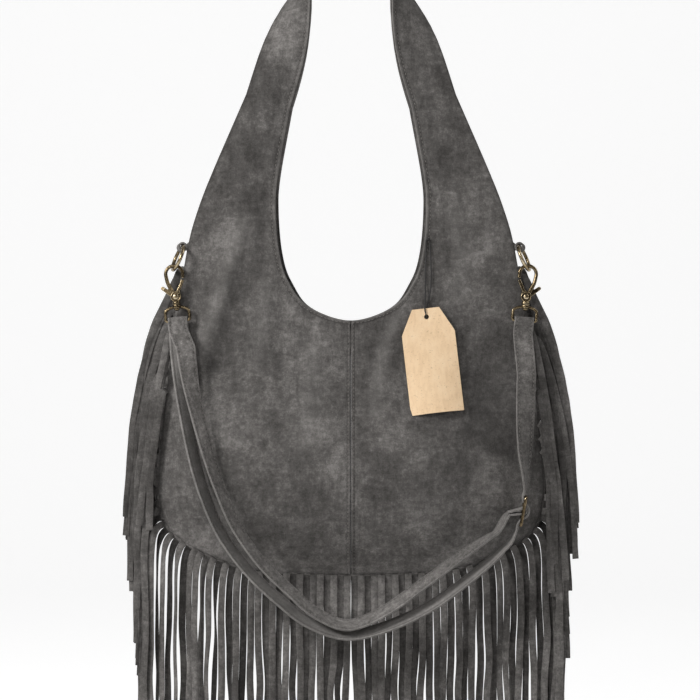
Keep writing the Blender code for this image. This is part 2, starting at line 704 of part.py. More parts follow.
def rivet_body():
    back = -HOOK_WIRE - 2 * FIT - GATE_PLATE
    to_w = Matrix.Rotation(math.radians(90), 4, "X")
    front = BOSS_FRONT + FIT
    profile = [(RIVET_HEAD * 0.7, back - 0.8 * MM), (RIVET_HEAD, back - 0.5 * MM), (RIVET_HEAD, back),
               (RIVET_RADIUS, back), (RIVET_RADIUS, front), (RIVET_HEAD, front),
               (RIVET_HEAD * 0.85, front + 0.7 * MM), (RIVET_HEAD * 0.4, front + 1.0 * MM)]
    return move(turned(profile, 12), to_w)


def d_loop_body():
    """Bent D of wire with a flat bar for the strap, and a bored eyelet on the swivel post."""
    top = COLLAR_TOP - COLLAR_HEIGHT - FIT - EYELET_HEIGHT / 2
    bend = LOOP_HALF_WIDTH - STRAP_WIDTH / 2
    right = [Vector((LOOP_HALF_WIDTH * math.sin(a), top - 5.0 * MM * (1.0 - math.cos(a)), 0.0))
             for a in (math.radians(d) for d in (0, 30, 55, 75, 90))]
    low_corner = Vector((LOOP_HALF_WIDTH - bend, LOOP_BAR_V + bend, 0.0))
    right += [low_corner + Vector((math.cos(a), -math.sin(a), 0.0)) * bend
              for a in (math.radians(d) for d in (0, 45, 90))]
    left = [Vector((-p.x, p.y, 0.0)) for p in reversed(right[1:])]
    ring = wire([*right, *left], LOOP_WIRE, 6, closed=True, up=Vector((0.0, 0.0, 1.0)))
    half = EYELET_HEIGHT / 2
    eyelet = turned([(COLLAR_RADIUS, top - half), (COLLAR_RADIUS, top + half)], 14)
    bore = turned([(POST_RADIUS + FIT, top - 2 * half), (POST_RADIUS + FIT, top + 2 * half)], 12)
    return combine(combine(ring, [eyelet], "UNION"), [bore], "DIFFERENCE")


for hand, side in (("left", -1), ("right", 1)):
    node(f"ring_tab_{hand}", ring_tab(side), DARK_SUEDE)
    ring = wire(ring_path(side), RING_WIRE, 6, closed=True, up=ring_along.cross(ring_up))
    node(f"ring_{hand}", ring, BRASS, 0.35, 1.0, 60.0)
    node(f"hook_{hand}", placed(hook_body(), side), BRASS, 0.35, 1.0, 50.0)
    node(f"gate_{hand}", placed(gate_body(), side), BRASS, 0.35, 1.0)
    node(f"rivet_{hand}", placed(rivet_body(), side), BRASS, 0.35, 1.0)
    node(f"d_loop_{hand}", placed(d_loop_body(), side), BRASS, 0.35, 1.0, 60.0)


# Crossbody strap: one band, swept through chosen places with its face turned as it hangs
FRONT = Vector((0.0, -1.0, 0.0))


def clasp_point(u, v, w, side):
    p = CLASP @ Vector((u, v, w))
    return Vector((side * p.x, p.y, p.z))


def hang_frame(along, turn):
    """Face direction of the band where it runs along: to the front, turned outwards by turn degrees."""
    outward = Vector((-along.z, 0.0, along.x)).normalized()
    forward = (FRONT - along * FRONT.dot(along)).normalized()
    face = forward * math.cos(math.radians(turn)) + outward * math.sin(math.radians(turn))
    return (face - along * face.dot(along)).normalized()


# Places of the outer ply from the slider down, round the bottom and up to the left D-loop: x, y, z in
# millimetres, how far the band is turned, and how far the inner ply lies from it. Below it, the single
# ply from the right clasp down to the slider
OUTER_PLY = [
    (144.0, -35.5, -580.5, 99, 15), (122.4, -40, -600.8, 110, 20), (76.4, -40, -635.5, 116, 21),
    (34.0, -40, -656.0, 116, 14), (-3.7, -40, -664.0, 116, 9), (-37.7, -40, -653.2, 116, 11),
    (-63.5, -40, -633.9, 116, 13), (-92.0, -40, -607.2, 116, 14), (-116.8, -39, -574.1, 116, 15),
    (-132.5, -37, -539.1, 118, 15), (-144.0, -33, -500.0, 122, 13), (-153.0, -26, -450.0, 134, 9),
    (-156.0, -21.5, -422.0, 153, 7), (-157.6, -18.0, -403.0, 170, 6),
]
SEWN_DROP = [(161.0, -19, -425, 6), (160.0, -23, -460, 16), (159.0, -28, -495, 40), (158.9, -30.5, -520, 72)]
ply_shift = STRAP_LOWEST - min(p[2] for p in OUTER_PLY) * MM


def band_section(centre, along, face):
    across = along.cross(face).normalized()
    side = across * STRAP_WIDTH / 2
    thick = face * STRAP_THICK / 2
    return [centre - side - thick, centre + side - thick, centre + side + thick, centre - side + thick]


def bar_turn(side, front_first):
    """Round the D-loop's bar: (centre, face away from the bar) from one side of it to the other."""
    angles = [0, 45, 90, 135, 180]
    if not front_first:
        angles.reverse()
    found = []
    for a in (math.radians(d) for d in angles):
        away = clasp_point(0.0, math.sin(a), math.cos(a), side) - clasp_point(0.0, 0.0, 0.0, side)
        found.append((clasp_point(0.0, LOOP_BAR_V, 0.0, side) + away * PLY_AT_BAR, away))
    return found


def sweep_band():
    """Sections of the whole strap from its sewn end at the right clasp to its sewn end at the slider."""
    stops = []
    near = STRAP_THICK / 2 + FIT / 2
    low = LOOP_BAR_V - 14.0 * MM
    away_back = -CLASP.to_3x3().col[2]
    for v, w in ((low, -near), (LOOP_BAR_V - 7.0 * MM, -near - 0.6 * MM)):
        stops.append((clasp_point(0.0, v, w, 1), away_back))
    stops += bar_turn(1, False)
    away_front = CLASP.to_3x3().col[2]
    stops.append((clasp_point(0.0, LOOP_BAR_V - 7.0 * MM, near + 0.6 * MM, 1), away_front))
    stops.append((clasp_point(0.0, low, near, 1), away_front))
    down = Vector((0.0, 0.0, -1.0))
    turns = smooth_path([Vector((turn, 0.0, 0.0)) for *_, turn in SEWN_DROP], 3)
    places = smooth_path([Vector(place) * MM for *place, _ in SEWN_DROP], 3)
    stops += [(place, hang_frame(down, turn.x)) for place, turn in zip(places, turns)]
    lean, slide_face = slider_axes()
    weave = [(-17.5, -2.2), (-13.0, -2.8), (-8.0, -0.6), (-4.6, 3.4), (0.0, 5.1), (4.6, 3.4), (8.0, -0.6),
             (13.0, -2.8), (17.0, -2.4)]
    spots = [SLIDER_CENTRE + lean * t * MM + slide_face * n * MM for t, n in weave]
    for k, spot in enumerate(spots):
        along = (spots[min(k + 1, len(spots) - 1)] - spots[max(k - 1, 0)]).normalized()
        stops.append((spot, (slide_face - along * slide_face.dot(along)).normalized()))
    outer = [Vector((x, y, z)) * MM + Vector((0.0, 0.0, ply_shift)) for x, y, z, _, _ in OUTER_PLY]
    turns = [Vector((turn, gap * MM, 0.0)) for _, _, _, turn, gap in OUTER_PLY]
    line = smooth_path(outer, 3)
    shape = smooth_path(turns, 3)
    inner = []
    for k, (point, (turn, gap, _)) in enumerate(zip(line, shape)):
        along = (line[min(k + 1, len(line) - 1)] - line[max(k - 1, 0)]).normalized()
        face = hang_frame(along, turn)
        stops.append((point, face))
        inner.append((ply_beside(point, along, face, gap, turn), -face))
    low_left = LOOP_BAR_V - 9.0 * MM
    stops.append((clasp_point(0.0, low_left, -near - 0.8 * MM, -1), clasp_face(-1)))
    stops += [(p, -away) for p, away in bar_turn(-1, False)]
    stops.append((clasp_point(0.0, low_left, near + 0.8 * MM, -1), -clasp_face(-1)))
    stops += reversed(inner)
    return stops, lean, slide_face


def clasp_face(side):
    face = CLASP.to_3x3().col[2]
    return Vector((side * face.x, face.y, face.z))


def ply_beside(point, along, face, gap, turn):
    """Where the inner ply runs: beside the outer one, towards the middle of the strap's loop."""
    inward = Vector((along.z, 0.0, -along.x)).normalized()
    return point + inward * gap - FRONT * PLY_AT_BAR * 2 * math.cos(math.radians(turn))


def slider_axes():
    """The way the strap runs through the slider, and the way its face is turned there."""
    lean = Vector((-0.18, 0.0, -0.98)).normalized()
    return lean, hang_frame(lean, SLIDER_TURN)


band, slide_way, slide_face = sweep_band()
bar_wrap = SLIDER_BAR + FIT + STRAP_THICK / 2
neck_way = (-slide_face + slide_way * 0.35).normalized()
neck_side = slide_way - neck_way * slide_way.dot(neck_way)
neck_side.normalize()
near_ply = STRAP_THICK / 2 + FIT / 2
band.append((SLIDER_CENTRE + neck_way * 15.0 * MM + neck_side * near_ply, neck_side))
band.append((SLIDER_CENTRE + neck_way * 7.0 * MM + neck_side * (near_ply + 0.6 * MM), neck_side))
for degrees in (60, 105, 150, 195, 240, 285, 300):
    a = math.radians(degrees)
    away = neck_way * math.cos(a) + neck_side * math.sin(a)
    band.append((SLIDER_CENTRE + away * bar_wrap, away))
band.append((SLIDER_CENTRE + neck_way * 7.0 * MM - neck_side * (near_ply + 0.6 * MM), -neck_side))
band.append((SLIDER_CENTRE + neck_way * 14.0 * MM - neck_side * near_ply, -neck_side))


def band_mesh(stops):
    """Skin the strap, keeping each section's long side from flipping over."""
    sections = []
    last = None
    for k, (point, face) in enumerate(stops):
        along = (stops[min(k + 1, len(stops) - 1)][0] - stops[max(k - 1, 0)][0]).normalized()
        face = (face - along * face.dot(along)).normalized()
        if last is not None and along.cross(face).dot(last) < 0:
            face = -face
        last = along.cross(face)
        sections.append(band_section(point, along, face))
    bm = bmesh.new()
    rings = [[bm.verts.new(p) for p in section] for section in sections]
    for a, b in zip(rings, rings[1:]):
        flat_skin(bm, a, b)
    bm.faces.new(rings[0])
    bm.faces.new(rings[-1])
    return bm


node("crossbody_strap", band_mesh(band), GREY_SUEDE)


def slider_body():
    """Three-bar slider: a rounded frame with a centre bar, flat in u and v."""
    half_u = STRAP_WIDTH / 2 + 2 * FIT + SLIDER_BAR
    bend = 2.0 * MM
    corner = [(half_u - bend + bend * math.sin(a), SLIDER_PITCH - bend + bend * math.cos(a))
              for a in (math.radians(d) for d in (0, 45, 90))]
    ring = corner + [(u, -v) for u, v in reversed(corner)]
    ring += [(-u, v) for u, v in reversed(ring)]
    path = [Vector((u, v, 0.0)) for u, v in ring]
    frame_wire = wire(path, SLIDER_BAR, 8, closed=True, up=Vector((0.0, 0.0, 1.0)))
    bar = wire([Vector((-half_u, 0.0, 0.0)), Vector((half_u, 0.0, 0.0))], SLIDER_BAR * 0.93, 8,
               up=Vector((0.0, 0.0, 1.0)))
    return combine(frame_wire, [bar], "UNION")


slide_across = slide_way.cross(slide_face).normalized()
SLIDER = Matrix((slide_across, -slide_way, slide_face)).transposed().to_4x4()
SLIDER.translation = SLIDER_CENTRE
node("slider", move(slider_body(), SLIDER), BRASS, 0.35, 1.0, 60.0)


# Hang tag on the front panel, and its string
def panel_front_y(x, z):
    return -(seam_gap(z) + open_depth(x, z) + SUEDE)


def tag_frame():
    """Tag's place: u across, v up its length, w to the front, from its hole."""
    tilt = math.radians(TAG_TILT)
    down = Vector((math.sin(tilt), 0.0, -math.cos(tilt)))
    top_y = panel_front_y(TAG_HOLE_AT.x, TAG_HOLE_AT.z)
    reach = TAG_LENGTH
    low = TAG_HOLE_AT + down * reach
    down.y = (panel_front_y(low.x, low.z) - top_y) / reach
    down.normalize()
    across = Vector((math.cos(tilt), 0.0, math.sin(tilt)))
    across = (across - down * across.dot(down)).normalized()
    front = across.cross(-down)
    return Matrix.Translation((TAG_HOLE_AT.x, top_y - TAG_CLEAR, TAG_HOLE_AT.z)) @ Matrix(
        (across, -down, front)).transposed().to_4x4()


TAG = tag_frame()


def tag_body():
    top = 8.0 * MM
    half = TAG_WIDTH / 2
    half_top = TAG_TOP_WIDTH / 2
    outline = [(-half_top, top), (-half, top - TAG_SHOULDER), (-half, top - TAG_LENGTH),
               (half, top - TAG_LENGTH), (half, top - TAG_SHOULDER), (half_top, top)]
    card = prism(outline, -TAG_THICK / 2, TAG_THICK / 2)
    hole = prism(circle(TAG_HOLE, 12), -2 * MM, 2 * MM)
    return combine(card, [hole], "DIFFERENCE")


node("hang_tag", move(tag_body(), TAG), KRAFT, 0.85)


def string_path():
    """Loop of thin string from the knot on the mouth edge, through the tag's hole and back."""
    route = []
    for x, z, lift in ((69.3, -303.5, 1.2), (69.0, -318.0, 1.3), (68.6, -338.0, 1.3), (68.4, -354.0, 2.4)):
        route.append(Vector((x * MM, panel_front_y(x * MM, z * MM) - lift * MM, z * MM)))
    for u, v, w in ((-0.7, 8.0, 1.5), (-0.4, 3.4, 1.3), (-0.1, 0.7, 0.9), (0.0, -0.5, 0.0), (0.3, 0.7, -0.9),
                    (0.7, 3.4, -1.3), (1.4, 9.5, -1.3)):
        route.append(TAG @ (Vector((u, v, w)) * MM))
    for x, z, lift in ((72.8, -352.0, 2.3), (73.9, -337.0, 1.4), (73.4, -319.0, 1.3), (72.5, -303.5, 1.2)):
        route.append(Vector((x * MM, panel_front_y(x * MM, z * MM) - lift * MM, z * MM)))
    return route


def cord(name, points, radius, colour):
    curve = bpy.data.curves.new(name, "CURVE")
    curve.dimensions = "3D"
    curve.bevel_depth = radius
    curve.bevel_resolution = 1
    curve.use_fill_caps = True
    spline = curve.splines.new("POLY")
    spline.points.add(len(points) - 1)
    for slot, point in zip(spline.points, points):
        slot.co = (*point, 1.0)
    curve.materials.append(material(name, colour, 0.8))
    made = bpy.data.objects.new(name, curve)
    bpy.context.scene.collection.objects.link(made)
    return made


cord("tag_string", smooth_path(string_path(), 2), STRING_RADIUS, BLACK)
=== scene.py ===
import math

import bmesh
import bpy
import numpy as np
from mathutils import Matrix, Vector, noise


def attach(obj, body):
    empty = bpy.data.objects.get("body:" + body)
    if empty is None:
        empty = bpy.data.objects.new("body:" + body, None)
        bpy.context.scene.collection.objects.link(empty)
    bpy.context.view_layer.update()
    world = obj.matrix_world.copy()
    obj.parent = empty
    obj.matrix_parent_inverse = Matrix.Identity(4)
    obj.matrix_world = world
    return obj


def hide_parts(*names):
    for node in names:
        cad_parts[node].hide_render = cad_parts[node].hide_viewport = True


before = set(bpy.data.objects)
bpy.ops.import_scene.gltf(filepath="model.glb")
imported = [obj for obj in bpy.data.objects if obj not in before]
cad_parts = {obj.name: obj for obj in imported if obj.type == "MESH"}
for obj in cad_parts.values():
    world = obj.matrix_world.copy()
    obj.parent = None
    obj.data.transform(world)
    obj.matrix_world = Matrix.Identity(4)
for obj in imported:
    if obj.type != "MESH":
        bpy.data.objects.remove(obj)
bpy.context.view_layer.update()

bpy.context.scene.view_settings.view_transform = "Standard"


# Camera
# The bag is seen level and square from the front, from about two metres, with the top of its shoulder
# strap and the ends of its fringe outside the picture.
MM = 0.001
CAMERA_AWAY = 2.2
VIEW_WIDTH = 0.644
SENSOR = 36.0
AIM = (-0.0009, -0.015, -0.405)


def linked(name, data):
    """A new object in the scene that holds this data."""
    made = bpy.data.objects.new(name, data)
    bpy.context.scene.collection.objects.link(made)
    return made


lens = bpy.data.cameras.new("camera")
lens.sensor_width = SENSOR
lens.lens = SENSOR * CAMERA_AWAY / VIEW_WIDTH
camera = linked("camera", lens)
camera.location = (AIM[0], AIM[1] - CAMERA_AWAY, AIM[2])
camera.rotation_euler = (math.radians(90.0), 0.0, 0.0)
bpy.context.scene.camera = camera


# Finishes
# A value wraps a shader socket, so that a pattern is written as a sum. A finish holds one material while
# its nodes are put together.
class Value:
    def __init__(self, tree, socket):
        self.tree = tree
        self.socket = socket

    def maths(self, operation, *values):
        node = self.tree.nodes.new("ShaderNodeMath")
        node.operation = operation
        for slot, value in zip(node.inputs, values):
            plug(self.tree, slot, value)
        return Value(self.tree, node.outputs[0])

    def __add__(self, other):
        return self.maths("ADD", self, other)

    def __sub__(self, other):
        return self.maths("SUBTRACT", self, other)

    def __mul__(self, other):
        return self.maths("MULTIPLY", self, other)

    __radd__ = __add__
    __rmul__ = __mul__


def plug(tree, slot, value):
    if isinstance(value, Value):
        tree.links.new(value.socket, slot)
    else:
        slot.default_value = value


class Graph:
    def __init__(self, tree):
        self.tree = tree

    def add(self, kind, settings=None, values=None, out=0):
        node = self.tree.nodes.new(kind)
        for key, value in (settings or {}).items():
            if key == "stops":
                ramp = node.color_ramp.elements
                ramp[0].position, ramp[-1].position = value[0][0], value[-1][0]
                for place, _ in value[1:-1]:
                    ramp.new(place)
                for element, (_, colour) in zip(ramp, value):
                    element.color = (*colour, 1.0)
            else:
                setattr(node, key, value)
        for slot, value in (values or {}).items():
            plug(self.tree, node.inputs[slot], value)
        return Value(self.tree, node.outputs[out])


class Finish(Graph):
    def __init__(self, name):
        self.material = bpy.data.materials.new(name)
        self.material.use_nodes = True
        super().__init__(self.material.node_tree)
        self.shader = self.tree.nodes["Principled BSDF"]
        self.place = self.add("ShaderNodeTexCoord", out="Object")

    def stretched(self, scale, turn=(0.0, 0.0, 0.0)):
        """The pattern's place, stretched along an axis."""
        return self.add("ShaderNodeMapping", {}, {"Vector": self.place, "Scale": scale, "Rotation": turn})

    def noise(self, scale, detail=3.0, rough=0.55, bend=0.0, at=None):
        values = {"Vector": at or self.place, "Scale": scale, "Detail": detail, "Roughness": rough,
                  "Distortion": bend}
        return self.add("ShaderNodeTexNoise", {}, values)

    def ramp(self, value, stops):
        return self.add("ShaderNodeValToRGB", {"stops": stops}, {"Fac": value})

    def blend(self, share, low, high):
        return self.add("ShaderNodeMix", {"data_type": "RGBA"}, {0: share, 6: low, 7: high}, out=2)

    def bump(self, height, depth):
        return self.add("ShaderNodeBump", {}, {"Height": height, "Strength": 1.0, "Distance": depth})

    def surface(self, **values):
        """Set the shader's sockets, with spaces in their names written as underscores."""
        for slot, value in values.items():
            plug(self.tree, self.shader.inputs[slot.replace("_", " ")], value)
        return self.material


def shape(name, points, faces, material):
    """An object at the origin from points in the bag's own frame."""
    mesh = bpy.data.meshes.new(name)
    mesh.from_pydata([tuple(float(c) for c in p) for p in points], [], faces)
    mesh.validate()
    mesh.materials.append(material)
    mesh.shade_smooth()
    return linked(name, mesh)


def settle(made, body, stands_for=None):
    """Say on which body a piece rides and which solid it stands for, and hide that solid."""
    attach(made, body)
    if stands_for:
        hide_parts(stands_for)
    return made


# Floor, backdrop and light
# A white sweep stands under and behind the bag. The light is a large soft box on the left and in front,
# so that the bag's shadow falls on the floor behind it on the right.
FLOOR = -0.852
FLOOR_FRONT, FLOOR_BACK, FLOOR_HALF = -3.2, 2.2, 4.0
WALL_BEND, WALL_TOP = 1.2, 3.0
sweep = Finish("white_sweep")
sweep.surface(Base_Color=(0.93, 0.93, 0.93, 1.0), Roughness=0.9, Specular_IOR_Level=0.1)
ray = sweep.tree.nodes.new("ShaderNodeLightPath")
glow = sweep.add("ShaderNodeEmission", {}, {"Color": (1.0, 1.0, 1.0, 1.0), "Strength": 1.49})
seen = Value(sweep.tree, ray.outputs["Is Camera Ray"]) + Value(sweep.tree, ray.outputs["Is Glossy Ray"])
seen = seen + Value(sweep.tree, ray.outputs["Is Transmission Ray"])
white = sweep.add("ShaderNodeMixShader", {}, {0: seen * 0.52})
sweep.tree.links.new(sweep.shader.outputs[0], white.socket.node.inputs[1])
sweep.tree.links.new(glow.socket, white.socket.node.inputs[2])
sweep.tree.links.new(white.socket, sweep.tree.nodes["Material Output"].inputs["Surface"])
profile = [(FLOOR_FRONT, FLOOR), (FLOOR_BACK, FLOOR)]
profile += [(FLOOR_BACK + WALL_BEND * math.sin(a), FLOOR + WALL_BEND * (1 - math.cos(a)))
            for a in np.linspace(0.1, math.pi / 2, 12)]
profile.append((FLOOR_BACK + WALL_BEND, WALL_TOP))
points = [(x, y, z) for y, z in profile for x in (-FLOOR_HALF, FLOOR_HALF)]
quads = [(2 * k, 2 * k + 1, 2 * k + 3, 2 * k + 2) for k in range(len(profile) - 1)]
shape("backdrop", points, quads, sweep.material)

world = bpy.data.worlds.new("studio")
bpy.context.scene.world = world
world.use_nodes = True
sky = world.node_tree.nodes["Background"].inputs
sky["Color"].default_value = (1.0, 1.0, 1.0, 1.0)
sky["Strength"].default_value = 0.16


def soft_box(name, place, aim, size, power):
    light = bpy.data.lights.new(name, "AREA")
    light.shape = "RECTANGLE"
    light.size, light.size_y = size
    light.energy = power
    made = linked(name, light)
    made.location = place
    made.rotation_euler = (Vector(aim) - Vector(place)).to_track_quat("-Z", "Y").to_euler()


soft_box("key", (-1.55, -1.15, 0.75), (0.0, 0.0, -0.40), (0.65, 0.65), 38.0)
soft_box("front", (-0.75, -2.7, 0.75), (0.1, 0.0, -0.55), (0.35, 0.35), 13.0)
soft_box("rim", (1.6, -0.25, 1.0), (0.0, 0.0, -0.45), (0.6, 1.2), 12.0)


# Tag string
# A thin black waxed string is knotted round the right horn's inner edge and goes down through the hole of
# the hang tag and back up.
STRING_RADIUS = 0.6 * MM
STRING_ROUTE = [(69.3, -11.2, -303.5), (69.0, -11.6, -318.0), (68.6, -11.7, -338.0), (68.4, -12.8, -354.0),
                (67.9, -14.5, -366.6), (68.7, -15.0, -371.1), (69.3, -15.0, -373.8), (69.6, -14.2, -375.1),
                (69.7, -13.2, -374.0), (69.8, -12.4, -371.4), (69.8, -11.6, -365.3), (72.8, -12.7, -352.0),
                (73.9, -11.7, -337.0), (73.4, -11.5, -319.0), (72.5, -11.1, -303.5)]


def curve_through(points, steps, after=None):
    """Smooth curve through the points, in so many steps from each to the next, and on towards after."""
    p = np.array(points, float)
    ends = np.vstack((2 * p[0] - p[1], p, 2 * p[-1] - p[-2] if after is None else after))
    t = np.linspace(0.0, 1.0, steps, endpoint=False)[:, None]
    parts = []
    for a, b, c, d in zip(ends, ends[1:], ends[2:], ends[3:]):
        cubic = (2 * a - 5 * b + 4 * c - d) * t ** 2 + (3 * b - 3 * c + d - a) * t ** 3
        parts.append(0.5 * (2 * b + (c - a) * t + cubic))
    return np.vstack((*parts, p[-1:]))


def cord_curve(name, points, radius, material):
    data = bpy.data.curves.new(name, "CURVE")
    data.dimensions = "3D"
    data.bevel_depth = radius
    data.bevel_resolution = 3
    data.use_fill_caps = True
    spline = data.splines.new("POLY")
    spline.points.add(len(points) - 1)
    for slot, point in zip(spline.points, points):
        slot.co = (*point, 1.0)
    data.materials.append(material)
    return linked(name, data)


waxed = Finish("black_waxed_string")
twist = waxed.add("ShaderNodeTexWave", {"bands_direction": "DIAGONAL"},
                  {"Vector": waxed.place, "Scale": 420.0, "Distortion": 1.5, "Detail": 1.0})
waxed.surface(Base_Color=waxed.blend(twist, (0.006, 0.006, 0.006, 1.0), (0.03, 0.028, 0.027, 1.0)),
              Roughness=0.62, Normal=waxed.bump(twist, 0.12 * MM))
route = curve_through(np.array(STRING_ROUTE) * MM, 6)
string = cord_curve("tag_string_loop", route, STRING_RADIUS, waxed.material)
settle(string, "tag", "tag_string")


# Suede
# Napped split leather, grey-brown, brushed both ways so that it is cloudy all over. Cut edges are a little
# paler than the face. The lining pieces are a darker cut of the same hide.
def suede(name, deep, low, high, pale, edge, grain=1.0):
    made = Finish(name)
    cloud = made.noise(8.5, 3.0, 0.55, 0.7)
    patch = made.noise(27.0, 4.0, 0.62, 0.5)
    brushed = made.noise(1.0, 3.0, 0.6, 0.3, made.stretched((150.0, 150.0, 46.0), (0.0, 0.5, 0.0)))
    scuff = made.noise(1.0, 2.0, 0.6, 0.6, made.stretched((70.0, 70.0, 190.0), (0.0, -0.35, 0.0)))
    nap = made.noise(760.0, 2.0, 0.75)
    fleck = made.noise(260.0, 2.0, 0.7)
    tone = cloud * 0.84 + patch * 0.62 + brushed * 0.42 + scuff * 0.34 - 0.62
    tone = tone + nap * 0.44 * grain + fleck * 0.50 * grain - 0.47 * grain
    face = made.ramp(tone, [(0.22, deep), (0.45, low), (0.60, high), (0.82, pale)])
    # The first mark makes the colour paler: at cut edges, and as a painted highlight on fold ridges. The
    # second darkens it: along seams and stitch grooves, and as painted shade in fold valleys and on fringe
    # strips.
    worn = made.add("ShaderNodeAttribute", {"attribute_name": "worn"}, out="Fac")
    crease = made.add("ShaderNodeAttribute", {"attribute_name": "crease"}, out="Fac")
    colour = made.blend(worn * (patch * 0.8 + 0.45), face, (*edge, 1.0))
    colour = made.blend(crease * 0.8, colour, (*(0.45 * c for c in deep), 1.0))
    pile = nap * 0.75 + fleck * 0.5 + brushed * 0.7 + patch * 0.9
    made.surface(Base_Color=colour, Roughness=0.96, Specular_IOR_Level=0.12, Sheen_Weight=0.16,
                 Sheen_Roughness=0.45, Normal=made.bump(pile, 0.45 * MM * grain))
    made.shader.inputs["Sheen Tint"].default_value = (0.92, 0.90, 0.88, 1.0)
    return made.material


SUEDE_FACE = suede("grey_suede", (0.058, 0.054, 0.051), (0.102, 0.096, 0.091), (0.152, 0.143, 0.136),
                   (0.260, 0.246, 0.235), (0.250, 0.238, 0.226))
# A paler copy of the face suede for the strap and the ring tabs, painted lighter so that faces turned away
# from the key light still read pale.
PAINTED_LIGHTER_STRAP_SUEDE = suede("strap_suede", (0.078, 0.073, 0.069), (0.136, 0.128, 0.121), (0.200, 0.188, 0.179),
                    (0.330, 0.312, 0.298), (0.300, 0.286, 0.272), 1.2)
SUEDE_LINING = suede("dark_suede", (0.038, 0.036, 0.034), (0.066, 0.062, 0.059), (0.098, 0.092, 0.087),
                     (0.165, 0.156, 0.149), (0.180, 0.170, 0.161))


# Bag panels
# Front and back are each cut in two halves that run up into the shoulder strap. Their edges are turned in
# and topstitched round the opening, and the two halves meet in a raised seam down the middle.
FIT = 0.3 * MM
SUEDE = 1.4 * MM
CLOSED_GAP = FIT / 2
HEADER_GAP = 0.8 * MM
HORN_PUFF = 2.2 * MM
HORN_EDGE_RUN = 12.0 * MM
STRAP_HALF_DEPTH = CLOSED_GAP + SUEDE + HORN_PUFF
ARCH_FLAT = 6.0 * MM
ARCH_RADIUS = 20.3 * MM
ARCH_SWEEP = math.atan2(1.0, 0.313)
HORN_END = ARCH_FLAT + ARCH_RADIUS * ARCH_SWEEP + 172.0 * MM
SHOULDER_SEAM = 3.5 * MM
SNAP_RADIUS = 9.0 * MM
SNAP_HALF = 2.6 * MM
FACING = 1.0 * MM
FACING_EASE = 0.5 * MM
FACING_WIDTH = 22.0 * MM
FACING_TOP = -285.0 * MM
SNAP_DEPTH = SNAP_HALF + FACING + FACING_EASE - HEADER_GAP
MOUTH_GAPE = 5.0 * MM
BELLY = 30.0 * MM
HORN_FOOT, BODY_TOP = 235.0 * MM, 310.0 * MM
BELLY_FROM, BELLY_BY = 395.0 * MM, 525.0 * MM
FRONT = np.array((0.0, -1.0, 0.0))


def ease(value, low=0.0, high=1.0):
    """From 0 at the low value to 1 at the high one, without a bend at either."""
    t = np.clip((value - low) / (high - low), 0.0, 1.0)
    return t * t * (3.0 - 2.0 * t)


def mix(a, b, t):
    return a * (1.0 - t) + b * t


def unit(v):
    v = np.asarray(v, float)
    return v / np.linalg.norm(v, axis=-1, keepdims=True)


def arch_row(run):
    """Inner and outer edge of the shoulder strap at one place along it, and the way its front faces."""
    centre = np.array((run, 0.0, STRAP_HALF_DEPTH))
    outward = np.array((0.0, 0.0, 1.0))
    if run > ARCH_FLAT:
        angle = min((run - ARCH_FLAT) / ARCH_RADIUS, ARCH_SWEEP)
        outward = np.array((math.sin(angle), 0.0, math.cos(angle)))
        past = run - ARCH_FLAT - angle * ARCH_RADIUS
        centre = np.array((ARCH_FLAT, 0.0, STRAP_HALF_DEPTH - ARCH_RADIUS)) + outward * ARCH_RADIUS
        centre = centre + np.array((outward[2], 0.0, -outward[0])) * past
    turn = math.radians(90.0) * (1.0 - ease(run - ARCH_FLAT, 45.0 * MM, 180.0 * MM))
    across = outward * math.cos(turn) - FRONT * math.sin(turn)
    half = mix(38.0, 42.0, ease(run, 0.0, HORN_END)) * MM / 2
    return centre - across * half, centre + across * half, outward * math.sin(turn) + FRONT * math.cos(turn)


def flat(*pairs):
    """Points in the seam plane from x and z in millimetres."""
    return [np.array((x, 0.0, z)) * MM for x, z in pairs]


HORN_IN, HORN_OUT, _ = arch_row(HORN_END)
EDGE_STEPS = 16
mouth_line = curve_through(
    [HORN_IN, *flat((68, -243.8), (70, -275), (67, -312.8), (58.9, -340.4), (39.6, -364.8), (0, -378))],
    EDGE_STEPS, np.array((-39.6, 0.0, -364.8)) * MM)
seam_line = curve_through(
    [HORN_OUT, *flat((127, -238), (141, -274), (150.5, -308), (160, -365), (168.5, -425), (174.6, -485),
                     (177.6, -540), (163, -576), (105, -604.5), (45, -611), (0, -612.5))], EDGE_STEPS)
SEAM_SIDE = 130  # so many points of the seam lie beside the bag, before it turns under
centre_line = curve_through(
    flat(*[(0.0, mix(-378.0, -612.5, t)) for t in (0.0, 0.26, 0.56, 0.80, 0.95, 1.0)]), EDGE_STEPS)


def distance_to(line, x, z):
    """Shortest way in the seam plane from places to a line, all as arrays."""
    here = np.stack((x, z), -1)[..., None, :]
    a, span = line[:-1, ::2], np.diff(line[:, ::2], axis=0)
    t = np.clip(((here - a) * span).sum(-1) / (span ** 2).sum(-1), 0.0, 1.0)
    return np.sqrt(((here - a - t[..., None] * span) ** 2).sum(-1)).min(-1)


def open_depth(x, z):
    """How far a layer bellies out from the seam plane, below the shoulder strap."""
    x, z = np.abs(x), np.asarray(z, float)
    to_seam = distance_to(seam_line, x, z)
    fall = 1.0 - (1.0 - np.minimum(to_seam / 0.1, 1.0)) ** 2.2
    mouth = SNAP_DEPTH + MOUTH_GAPE * ease(x, SNAP_RADIUS, 0.06)
    depth = mix(mouth, BELLY, ease(-z, BELLY_FROM, BELLY_BY)) * fall
    sewn = HORN_PUFF * ease(np.minimum(to_seam, distance_to(mouth_line, x, z)), 0.0, HORN_EDGE_RUN)
    return mix(sewn, depth, ease(-z, HORN_FOOT, BODY_TOP))


def seam_gap(z):
    """How far the inner skins lie from the seam plane at the seam itself."""
    return mix(CLOSED_GAP, HEADER_GAP, ease(-np.asarray(z, float), HORN_FOOT, 0.30))


